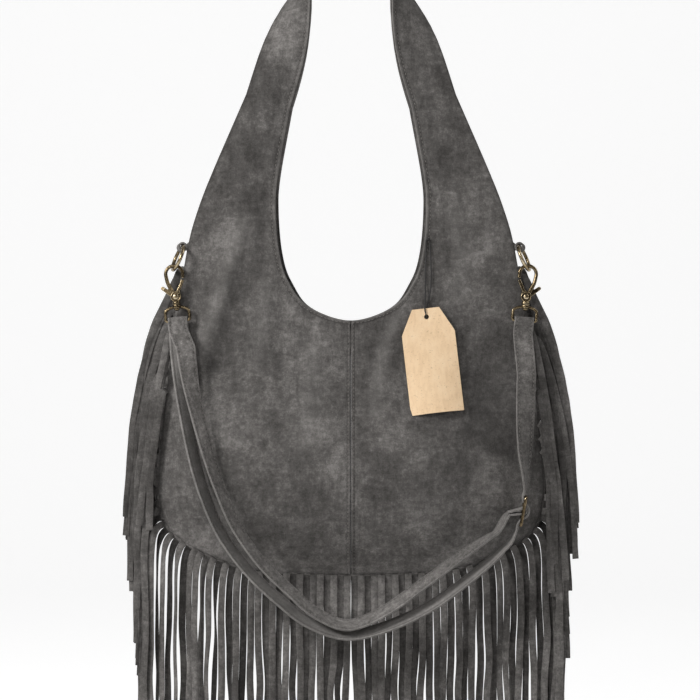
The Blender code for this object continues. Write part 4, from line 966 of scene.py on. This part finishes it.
strips_tree = Grower("fringe_strips", Width="Float", Thickness="Float", Corner="Float", Material="Material")
faced = strips_tree.add("GeometryNodeSetCurveNormal", {"mode": "FREE"},
                        {"Curve": strips_tree.curve, "Normal": strips_tree.mark("face", "FLOAT_VECTOR")})
sized = strips_tree.add("GeometryNodeSetCurveRadius", {},
                        {"Curve": faced, "Radius": strips_tree.mark("size", "FLOAT")})
block = strips_tree.add("GeometryNodeCurvePrimitiveQuadrilateral", {},
                        {"Width": strips_tree.input("Thickness"), "Height": strips_tree.input("Width")})
block = strips_tree.add("GeometryNodeFilletCurve", {"mode": "POLY"},
                        {"Curve": block, "Radius": strips_tree.input("Corner"), "Count": 2})
strips_tree.close(strips_tree.add("GeometryNodeCurveToMesh", {},
                                  {"Curve": sized, "Profile Curve": block, "Fill Caps": True}))

FRINGE_LENGTH = 232.0 * MM
FRINGE_PITCH = 6.25 * MM
FRINGE_WIDTH = 6.5 * MM
FRINGE_THICK = 1.1 * MM
FRINGE_CORNER = 0.35 * MM
FRINGE_TOP = -326.0 * MM
FRINGE_REACH = 9.2 * MM
FRONT_REACH = 3.6 * MM
LOW_REACH = 15.0 * MM
LOW_TURN = 13.0 * MM
FRINGE_TURN = 6.0 * MM
CORNER_HEIGHT = -540.0 * MM
BOTTOM_HALF = 100.0 * MM
HEADER_IN = 6.0 * MM
HEADER_OUT = 2.0 * MM
LAYERS = 9
LAYER_STEP = 4
# Between these heights of their roots, left and right, some strips hang as blades ahead of the side seam.
# Above them all strips hang behind the clasps, and below them in layers behind the panel.
FRONT_TOP = -385.0 * MM
FRONT_LOW = {-1.0: -445.0 * MM, 1.0: -520.0 * MM}
FRONT_SHORTER = 80.0 * MM
STACKED_TOP, STACKED_LOW = -445.0 * MM, -530.0 * MM
LONGER_ABOVE = -372.0 * MM
# Height and half width of the fringe's outline at the sides, as the photo shows it
SIDE_EDGE = np.array([(-900, 210.5), (-582, 209.5), (-540, 207.5), (-503, 205.5), (-478, 203.5), (-451, 200.5),
                      (-430, 197), (-400, 189.5), (-380, 182.5), (-350, 167), (-326, 153.5)]) * MM
seam = both_sides(seam_line[seam_line[:, 2] < FRINGE_TOP])
seam_runs = runs_along(seam)
strips = round(seam_runs[-1] / FRINGE_PITCH)
pitch = seam_runs[-1] / strips


def seam_at(run):
    """Places on the fringed seam and the way out of the bag there."""
    def spot(r):
        return np.stack([np.interp(r, seam_runs, seam[:, k]) for k in range(3)], -1)
    along = unit(spot(run + 3.0 * MM) - spot(run - 3.0 * MM))
    return spot(run), np.stack((-along[..., 2], 0.0 * along[..., 0], along[..., 0]), -1)


def waves(index, run, seed, length):
    """Smooth noise down one strip, a little alike in strips beside it."""
    return np.array([noise.noise(Vector((index * 0.43, r / length, seed))) for r in run.tolist()])


def strip_layer(index, height, sign):
    """A strip's layer from front to back, and whether it lies ahead of the side seam as a blade."""
    layer = (index * LAYER_STEP) % LAYERS - LAYERS // 2
    ahead = layer < -1 and FRONT_LOW[sign] < height < FRONT_TOP
    behind = height > FRONT_TOP
    if behind or (STACKED_LOW < height < STACKED_TOP and not ahead):
        layer = abs(layer) + 2 * behind
    return layer, ahead


def lane_place(z, run, height, out, own, ahead):
    """How far out a side strip hangs, between the bag's own edge and the outline that the photo shows."""
    level = np.maximum(z, CORNER_HEIGHT)
    near = np.interp(-level, -seam_line[:SEAM_SIDE, 2], seam_line[:SEAM_SIDE, 0]) + out
    far = np.interp(z, SIDE_EDGE[:, 0], SIDE_EDGE[:, 1])
    share = np.clip((height - level) / (FRINGE_TOP - level - 1e-6), 0.0, 1.0)
    low_share = (height - CORNER_HEIGHT) / (FRINGE_TOP - CORNER_HEIGHT) * 0.8 + 0.1 + own * 0.5
    if ahead:
        share, low_share = share * 0.30, abs(own) * 0.7
    return mix(near, far, mix(share, np.clip(low_share, 0.0, 1.0), ease(run, 0.02, 0.22)))


def strip_face(index, line, run, own, side, sign):
    """Where a strip's face looks: to the front, turned a little, and curled round at the corners."""
    along = unit(np.gradient(line, axis=0))
    angle = (own[1] * 0.7 + waves(index * 3.1, run, 13.0, 0.085) * 0.9) * ease(run, 10.0 * MM, 80.0 * MM)
    curled = ease(side, 0.12, 0.45) * (1.0 - ease(side, 0.80, 0.97)) * (1.0 if sign < 0 else 0.75)
    angle = angle + (0.62 + own[0] * 0.6) * curled * ease(run, 1.0 * MM, 30.0 * MM)
    square = unit(FRONT - along * (along @ FRONT)[:, None])
    across = np.cross(along, square)
    return square * np.cos(angle)[:, None] + across * np.sin(angle)[:, None]


def strip_line(index):
    """Centre line of a strip, with its face direction, its size and its painted shade at each point."""
    root, outward = seam_at((index + 0.5) * pitch)
    root = root + outward * HEADER_OUT * 0.4
    side, sign = abs(outward[0]), 1.0 if outward[0] > 0 else -1.0
    own = [noise.noise(Vector((index * rate, 0.5, rate))) for rate in (3.7, 5.3, 7.9)]
    length = FRINGE_LENGTH + (own[0] - 0.4) * 7.0 * MM
    layer, ahead = strip_layer(index, root[2], sign)
    on_side = root[2] > CORNER_HEIGHT
    reach = FRONT_REACH if ahead else FRINGE_REACH if on_side else LOW_REACH
    bend = FRINGE_TURN if on_side else LOW_TURN
    if ahead:
        length = length - (FRONT_SHORTER + 0.05 * own[2])
    elif on_side:
        length = length - (0.030 * own[2] - max(0.0, root[2] - LONGER_ABOVE) * 0.5)
    run = length * np.linspace(0.0, 1.0, 40) ** 1.35
    turn = 1.0 - np.exp(-run / bend)
    z = root[2] - run + bend * side * turn
    x = abs(root[0]) + reach * side * turn
    if on_side:
        x = lane_place(z, run, root[2], reach * side * turn, own[2], ahead)
    spacing = MM * mix(0.6, mix(0.8, 1.8, ease(-root[2], 0.34, 0.40)), ease(side, 0.0, 0.6))
    y = (layer - 2 * ahead) * spacing * ease(run, 0.0, 4.0 * MM)
    loose = ease(run, 20.0 * MM, 120.0 * MM)
    sway = mix(1.7, 1.15, ease(side, 0.2, 0.9))
    swing = waves(index, run, 1.0, 0.075) * 2.4 + waves(index * 4.1, run, 5.0, 0.042) * 1.1
    x = x + swing * sway * loose * MM
    y = y + waves(index * 2.3, run, 9.0, 0.060) * 1.5 * loose * MM
    line = np.stack((sign * x, y, z), -1)
    line[0] = root
    face = strip_face(index, line, run, own, side, sign)
    uneven = own[1] * 0.14 + waves(index * 7.7, run, 17.0, 0.03) * 0.08
    size = 1.0 + uneven * ease(run, 5.0 * MM, 60.0 * MM)
    size = size - 0.40 * ease(run, 14.0 * MM, 90.0 * MM) * (0.30 if on_side else 1.0)
    # Painted shade: strips in back layers darker, blades ahead of the seam lighter, and every strip darker
    # near its root; own[1] adds a random tone.
    shade = np.clip(0.16 + 0.045 * layer - 0.10 * ahead + own[1] * 0.30, 0.0, 0.5)
    return line, face, size, shade + 0.40 * np.exp(-run / (9.0 * MM))


def header_shell(first, last):
    """The comb's uncut band, which the seam holds between the two layers."""
    runs = np.arange(first * pitch + 0.1 * MM, last * pitch, 2.5 * MM)
    place, outward = seam_at(np.append(runs, last * pitch - 0.1 * MM))
    corners = ((-HEADER_IN, -0.5), (-HEADER_IN, 0.5), (HEADER_OUT - 0.3 * MM, 0.5), (HEADER_OUT, 0.25),
               (HEADER_OUT, -0.25), (HEADER_OUT - 0.3 * MM, -0.5))
    sections = [place + outward * reach + np.array((0.0, thick * MM, 0.0)) for reach, thick in corners]
    return skin(np.stack(sections, 1))


roots = seam_at((np.arange(strips) + 0.5) * pitch)[0]
side_end = int(np.sum((roots[:, 0] > 0) & (roots[:, 2] > CORNER_HEIGHT)))
corner_end = int(np.sum(roots[:, 0] > BOTTOM_HALF))
cuts = [0, side_end, corner_end, strips - corner_end, strips - side_end, strips]
FRINGE_NAMES = ("fringe_right_side", "fringe_right_corner", "fringe_bottom", "fringe_left_corner",
                "fringe_left_side")
for name, first, last in zip(FRINGE_NAMES, cuts, cuts[1:]):
    found = [strip_line(index) for index in range(first, last)]
    lines, faces, sizes, shades = (list(column) for column in zip(*found))
    comb = strips_tree.grow(f"suede_{name}", lines, {"face": faces, "size": sizes, "crease": shades},
                            Width=FRINGE_WIDTH, Thickness=FRINGE_THICK, Corner=FRINGE_CORNER,
                            Material=SUEDE_FACE)
    header = shape("header", *header_shell(first, last), SUEDE_FACE)
    bm = bmesh.new()
    bm.from_mesh(comb.data)
    bm.from_mesh(header.data)
    bm.to_mesh(comb.data)
    bm.free()
    bpy.data.objects.remove(header, do_unlink=True)
    settle(comb, "bag", name)


# Crossbody strap
# One length of suede with stitched edges. Its sewn end folds round the right D-loop, it weaves through the
# slider, hangs down and up to the left D-loop, and comes back to its second sewn end on the slider's bar.
SLIDER_BAR = 1.5 * MM
SLIDER_PITCH = 13.0 * MM
SLIDER_CENTRE = np.array((157.3, -31.0, -552.0)) * MM
STRAP_LOWEST = -664.0 * MM
PLY_AT_BAR = LOOP_WIRE + FIT + STRAP_THICK / 2
NEAR_PLY = (STRAP_THICK + FIT) / 2
WIDE_PLY = NEAR_PLY + 0.6 * MM
# x, y and z in millimetres, how far the band is turned, and how far the inner ply lies from the outer one
OUTER_PLY = np.array([
    (144.0, -35.5, -580.5, 99, 15), (122.4, -40, -600.8, 110, 20), (76.4, -40, -635.5, 116, 21),
    (34.0, -40, -656.0, 116, 14), (-3.7, -40, -664.0, 116, 9), (-37.7, -40, -653.2, 116, 11),
    (-63.5, -40, -633.9, 116, 13), (-92.0, -40, -607.2, 116, 14), (-116.8, -39, -574.1, 116, 15),
    (-132.5, -37, -539.1, 118, 15), (-144.0, -33, -500.0, 122, 13), (-153.0, -26, -450.0, 134, 9),
    (-156.0, -21.5, -422.0, 153, 7), (-157.6, -18.0, -403.0, 170, 6)])
SEWN_DROP = np.array([(161.0, -19, -425, 6), (160.0, -23, -460, 16), (159.0, -28, -495, 40),
                      (158.9, -30.5, -520, 72)])


def clasp_point(u, v, w, side):
    """A place in the clasp's own axes, on the right or on the left."""
    return (rivet_at + np.array((u, v, w)) @ clasp_axes) * np.array((side, 1.0, 1.0))


def hang_frame(along, turn):
    """Face of the band where it runs along: to the front, turned outwards by turn degrees."""
    outward = unit((-along[2], 0.0, along[0]))
    forward = unit(FRONT - along * (FRONT @ along))
    face = forward * cosine(turn) + outward * sine(turn)
    return unit(face - along * (face @ along))


def bar_turn(side):
    """The band's half turn round the bar of a D-loop, from behind it to its front."""
    found = []
    for a in (180, 135, 90, 45, 0):
        away = clasp_point(0.0, sine(a), cosine(a), side) - clasp_point(0.0, 0.0, 0.0, side)
        found.append((clasp_point(0.0, LOOP_BAR_V, 0.0, side) + away * PLY_AT_BAR, away))
    return found


slide_way = unit((-0.18, 0.0, -0.98))
slide_face = hang_frame(slide_way, 87.0)
clasp_faces = {side: clasp_front * np.array((side, 1.0, 1.0)) for side in (-1, 1)}


def band_stops():
    """Places and faces of the whole band, from its sewn end at the clasp to its sewn end at the slider."""
    low = LOOP_BAR_V - 14.0 * MM
    near = LOOP_BAR_V - 7.0 * MM
    stops = [(clasp_point(0.0, v, w, 1), -clasp_faces[1]) for v, w in ((low, -NEAR_PLY), (near, -WIDE_PLY))]
    stops += bar_turn(1)
    stops += [(clasp_point(0.0, v, w, 1), clasp_faces[1]) for v, w in ((near, WIDE_PLY), (low, NEAR_PLY))]
    drop = curve_through(SEWN_DROP, 3)
    stops += [(spot[:3] * MM, hang_frame(np.array((0.0, 0.0, -1.0)), spot[3])) for spot in drop]
    weave = np.array([(-17.5, -2.2), (-13.0, -2.8), (-8.0, -0.6), (-4.6, 3.4), (0.0, 5.1), (4.6, 3.4),
                      (8.0, -0.6), (13.0, -2.8), (17.0, -2.4)]) * MM
    spots = SLIDER_CENTRE + weave[:, :1] * slide_way + weave[:, 1:] * slide_face
    stops += [(spot, slide_face) for spot in spots]
    ply = curve_through(OUTER_PLY, 3)
    line = ply[:, :3] * MM
    line[:, 2] += STRAP_LOWEST - min(OUTER_PLY[:, 2]) * MM
    inner = []
    for k, (spot, turn, gap) in enumerate(zip(line, ply[:, 3], ply[:, 4] * MM)):
        along = unit(line[min(k + 1, len(line) - 1)] - line[max(k - 1, 0)])
        face = hang_frame(along, turn)
        stops.append((spot, face))
        inward = unit((along[2], 0.0, -along[0]))
        inner.append((spot + inward * gap - FRONT * PLY_AT_BAR * 2 * cosine(turn), -face))
    below = LOOP_BAR_V - 9.0 * MM
    stops.append((clasp_point(0.0, below, -NEAR_PLY - 0.8 * MM, -1), clasp_faces[-1]))
    stops += [(place, -away) for place, away in bar_turn(-1)]
    stops.append((clasp_point(0.0, below, NEAR_PLY + 0.8 * MM, -1), -clasp_faces[-1]))
    stops += inner[::-1]
    neck_way = unit(-slide_face + slide_way * 0.35)
    neck_side = unit(slide_way - neck_way * (slide_way @ neck_way))

    def neck_stop(back, away, face):
        return SLIDER_CENTRE + neck_way * back * MM + face * away, face

    stops += [neck_stop(15.0, NEAR_PLY, neck_side), neck_stop(7.0, WIDE_PLY, neck_side)]
    for a in (60, 105, 150, 195, 240, 285, 300):
        away = neck_way * cosine(a) + neck_side * sine(a)
        stops.append((SLIDER_CENTRE + away * (SLIDER_BAR + FIT + STRAP_THICK / 2), away))
    return stops + [neck_stop(7.0, WIDE_PLY, -neck_side), neck_stop(14.0, NEAR_PLY, -neck_side)]


def smooth_band(stops, steps=5):
    """Finer places along the band, with its face and its width direction at each."""
    path = curve_through([place for place, _ in stops], steps)
    along = unit(np.gradient(path, axis=0))
    coarse = []
    last = None
    for k, (place, face) in enumerate(stops):
        way = unit(stops[min(k + 1, len(stops) - 1)][0] - stops[max(k - 1, 0)][0])
        face = unit(face - way * (face @ way))
        if last is not None and np.cross(way, face) @ last < 0:
            face = -face
        last = np.cross(way, face)
        coarse.append(face)
    face = curve_through(coarse, steps)
    face = unit(face - along * (face * along).sum(-1, keepdims=True))
    return path, face, np.cross(along, face)


band_path, band_face, band_across = smooth_band(band_stops())
band_runs = runs_along(band_path)
STRAP_STITCH = 2.3 * MM
half = STRAP_WIDTH / 2
groove = half - STRAP_STITCH
# Half of the band's upper side: its rounded edge, its stitched groove and its crowned middle
top_half = [(half - 0.45 * MM, 0.0), (half - 0.1 * MM, 0.18), (half, 0.45), (half - 0.25 * MM, 0.80),
            (half - 0.8 * MM, 0.97), (groove + 0.7 * MM, 0.98), (groove + 0.25 * MM, 0.80),
            (groove - 0.25 * MM, 0.80), (groove - 0.7 * MM, 0.98), (half * 0.45, 1.03)]
top = top_half + [(-u, h) for u, h in reversed(top_half)]
profile = [(u, h * STRAP_THICK / 2) for u, h in top]
profile += [(u, -h * STRAP_THICK / 2) for u, h in reversed(top[1:-1])]
strap_crease = [max(bell(abs(u), groove, 0.6 * MM) * 0.8, float(h == 0.0)) for u, h in profile]
# Paler along the cut edges and over the whole back side of the band.
strap_paler = [0.5 if h < 0 else 0.4 * float(abs(u) > half - 0.3 * MM) for u, h in profile]
along_band = np.stack((band_runs, 0 * band_runs, 0 * band_runs), -1)
wobble = ripple(along_band, (0.021, 1.0, 1.0), 3.0) * 0.25 * MM
edge_wave = ripple(along_band, (0.045, 1.0, 1.0), 6.0) * 0.4 * MM
sections = np.stack([band_path + band_across * (u + np.sign(u) * edge_wave * 0.5)[:, None]
                     + band_face * (h + wobble * (1 - abs(u) / half))[:, None] for u, h in profile], 1)
strap = set_right(shape("suede_crossbody_strap", *skin(sections), PAINTED_LIGHTER_STRAP_SUEDE))
wear(strap, worn=np.tile(strap_paler, len(sections)), crease=np.tile(strap_crease, len(sections)))
settle(strap, "strap", "crossbody_strap")

half_u = STRAP_WIDTH / 2 + 2 * FIT + SLIDER_BAR
bend = 2.0 * MM
corner = arc(bend, np.arange(90.0, -1.0, -15.0), (half_u - bend, SLIDER_PITCH - bend))
frame_ring = np.vstack((corner, corner[::-1] * (1, -1), corner * (-1, -1), corner[::-1] * (-1, 1)))
slider_shells = [wire(raised(frame_ring), SLIDER_BAR, 16, True),
                 wire([(t * half_u, 0.0, 0.0) for t in np.linspace(-1, 1, 9)], SLIDER_BAR * 0.93, 16)]
slider_axes = (unit(np.cross(slide_way, slide_face)), -slide_way, slide_face)
slider_shells = [moved(shell, slider_axes, SLIDER_CENTRE) for shell in slider_shells]
settle(casting("brass_slider", slider_shells, brass.material), "strap", "slider")


# Stitches
# Each stitch is a small rounded thread half sunk in the suede. A node tree lays them at an even pitch along
# a line, each a little out of true.
thread = Finish("waxed_thread")
fibre = thread.noise(1400.0, 2.0, 0.6)
thread.surface(Base_Color=thread.ramp(fibre, [(0.3, (0.115, 0.106, 0.098)), (0.7, (0.235, 0.219, 0.203))]),
               Roughness=0.8, Normal=thread.bump(fibre, 0.10 * MM))
stitch_tree = Grower("stitches", Pitch="Float", Long="Float", Thick="Float", Uneven="Float",
                     Material="Material")
spaced = stitch_tree.add("GeometryNodeResampleCurve", {"mode": "LENGTH"},
                         {"Curve": stitch_tree.curve, "Length": stitch_tree.input("Pitch")})
uneven = stitch_tree.add("FunctionNodeRandomValue", {"data_type": "FLOAT_VECTOR"},
                         {0: (-1.0, -1.0, -1.0), 1: (1.0, 1.0, 1.0), "Seed": 4})
shift = stitch_tree.add("ShaderNodeVectorMath", {"operation": "SCALE"},
                        {0: uneven, "Scale": stitch_tree.input("Uneven")})
spaced = stitch_tree.add("GeometryNodeSetPosition", {}, {"Geometry": spaced, "Offset": shift})
way = stitch_tree.add("GeometryNodeInputTangent")
tilt = stitch_tree.add("ShaderNodeVectorMath", {"operation": "MULTIPLY_ADD"},
                       {0: uneven, 1: (0.13, 0.13, 0.13), 2: way})
aim = stitch_tree.add("FunctionNodeAlignRotationToVector", {"axis": "X"}, {"Vector": tilt})
ball = stitch_tree.add("GeometryNodeMeshUVSphere", {}, {"Segments": 7, "Rings": 5, "Radius": 0.5})
long, thick = stitch_tree.input("Long"), stitch_tree.input("Thick")
size = stitch_tree.add("ShaderNodeCombineXYZ", {}, {0: long, 1: thick, 2: thick})
stitch_tree.close(stitch_tree.add("GeometryNodeInstanceOnPoints", {},
                                  {"Points": spaced, "Instance": ball, "Rotation": aim, "Scale": size}))


def sew(name, lines, body, pitch=3.6 * MM, long=2.7 * MM):
    settle(stitch_tree.grow(f"stitches_{name}", lines, {}, Pitch=pitch, Long=long, Thick=0.62 * MM,
                            Uneven=0.12 * MM, Material=thread.material), body)


def across_columns(outside, shares):
    """Points between two columns of a panel's skin, one for each of its rows."""
    at = np.interp(shares, NEAR_EDGE, np.arange(len(NEAR_EDGE)))
    low = np.floor(at).astype(int)
    rows = np.arange(len(outside))
    return mix(outside[rows, low], outside[rows, low + 1], (at - low)[:, None])


for panel_name, outside in halves.items():
    by_mouth = np.arange(len(outside)) < len(outside) - len(centre_line) + 1
    offset = np.where(by_mouth, EDGE_STITCH, MIDDLE_STITCH)
    sew(panel_name, [across_columns(outside, offset)[:-6]], "bag")

edges = [band_path + band_across * groove * sign + band_face * (0.42 * STRAP_THICK * front)
         for sign in (-1, 1) for front in (-1, 1)]
sew("strap_edges", edges, "strap")
fold = np.flatnonzero((band_path[:, 0] > 0.14) & (band_path[:, 2] < -0.3947) & (band_runs > 0.03))[0]
tail = np.flatnonzero(band_runs < band_runs[-1] - 3.0 * MM)[-1]
bars = [band_path[k] + np.outer(np.linspace(-groove, groove, 9), band_across[k])
        + band_face[k] * (0.47 * STRAP_THICK * front) for k in (fold, tail) for front in (-1, 1)]
sew("strap_ends", bars, "strap", pitch=2.6 * MM, long=2.1 * MM)


# Hang tag
# A bare kraft card with clipped corners hangs from its string through a punched hole, in its own axes:
# across, up and to the front from the hole.
TAG_WIDTH = 48.9 * MM
TAG_LENGTH = 97.0 * MM
TAG_THICK = 0.6 * MM
TAG_HOLE = 2.2 * MM
TAG_SHOULDER = 23.0 * MM
TAG_TOP_WIDTH = 25.0 * MM
TAG_RISE = 8.0 * MM
TAG_CORNER = 0.8 * MM
tag_axes = np.array(((0.993572, 0.0, 0.113203), (-0.112116, 0.138264, 0.984029),
                     (-0.015652, -0.990395, 0.137376)))
tag_hole_at = np.array((0.0695, -0.014158, -0.3746))
kraft = Finish("kraft_card")
pulp = kraft.noise(1.0, 4.0, 0.65, 0.4, kraft.stretched((260.0, 260.0, 90.0)))
mottle = kraft.noise(55.0, 3.0, 0.5)
flecks = kraft.noise(1.0, 2.0, 0.5, 0.8, kraft.stretched((520.0, 520.0, 900.0), (0.0, 0.7, 0.0)))
kraft_face = kraft.ramp(pulp * 0.6 + mottle * 0.4, [(0.25, (0.72, 0.50, 0.30)), (0.5, (0.86, 0.63, 0.40)),
                                                    (0.8, (0.93, 0.73, 0.50))])
dark_fleck = kraft.add("ShaderNodeMapRange", {}, {"Value": flecks, "From Min": 0.63, "From Max": 0.72})
kraft_face = kraft.blend(dark_fleck * 0.45, kraft_face, (0.36, 0.22, 0.12, 1.0))
kraft.surface(Base_Color=kraft_face, Roughness=0.82, Specular_IOR_Level=0.3,
              Normal=kraft.bump(pulp + flecks * 0.3, 0.12 * MM))


def card_half_width(v):
    """Half the card's width at a height, with small soft corners."""
    heights = (-TAG_RISE, TAG_SHOULDER - TAG_RISE, TAG_LENGTH - TAG_RISE)
    wide = np.interp(-v, heights, np.array((TAG_TOP_WIDTH, TAG_WIDTH, TAG_WIDTH)) / 2)
    low = np.clip((v + TAG_LENGTH - TAG_RISE) / TAG_CORNER, 0.0, 1.0)
    return wide - TAG_CORNER * (1.0 - np.sqrt(1.0 - (1.0 - low) ** 2))


rows_low = 8.0 - TAG_LENGTH / MM + np.array([0.0, 0.1, 0.25, 0.5, 0.8, 1.5])
rows_v = np.concatenate((rows_low, np.linspace(-82.0, 7.4, 40), [7.8, 8.0])) * MM
columns_u = np.linspace(-1.0, 1.0, 25)
card_u = card_half_width(rows_v)[:, None] * columns_u
card_v = np.broadcast_to(rows_v[:, None], card_u.shape)
curl = 0.35 * MM * np.sin(card_v / TAG_LENGTH * 3.0) - 9.0 * (card_u ** 2) * ease(-card_v, 0.0, 0.08)
card_skins = [np.stack((card_u, card_v, curl + TAG_THICK / 2 * front), -1) @ tag_axes + tag_hole_at
              for front in (1, -1)]
card = two_skins("kraft_hang_tag", *card_skins, kraft.material, 0.08 * MM)
pin = prism(arc(TAG_HOLE, np.arange(0.0, 360.0, 7.5)), -3 * MM, 3 * MM)
punch = set_right(shape("punch", *moved(pin, tag_axes, tag_hole_at), kraft.material))
hole = card.modifiers.new("hole", "BOOLEAN")
hole.operation = "DIFFERENCE"
hole.solver = "EXACT"
hole.object = punch
finished(card)
card.data.set_sharp_from_angle(angle=math.radians(50.0))
bpy.data.objects.remove(punch, do_unlink=True)
settle(card, "tag", "hang_tag")

KNOT_PLACE = np.array((70.9, -11.6, -303.2)) * MM
coil = np.array([(1.25 * cosine(a), 0.9 * sine(a) - 0.7, a / 360.0 * 1.05 - 0.9)
                 for a in range(0, 721, 20)]) * MM
knot = cord_curve("tag_string_knot", coil + KNOT_PLACE, STRING_RADIUS, waxed.material)
settle(knot, "tag")
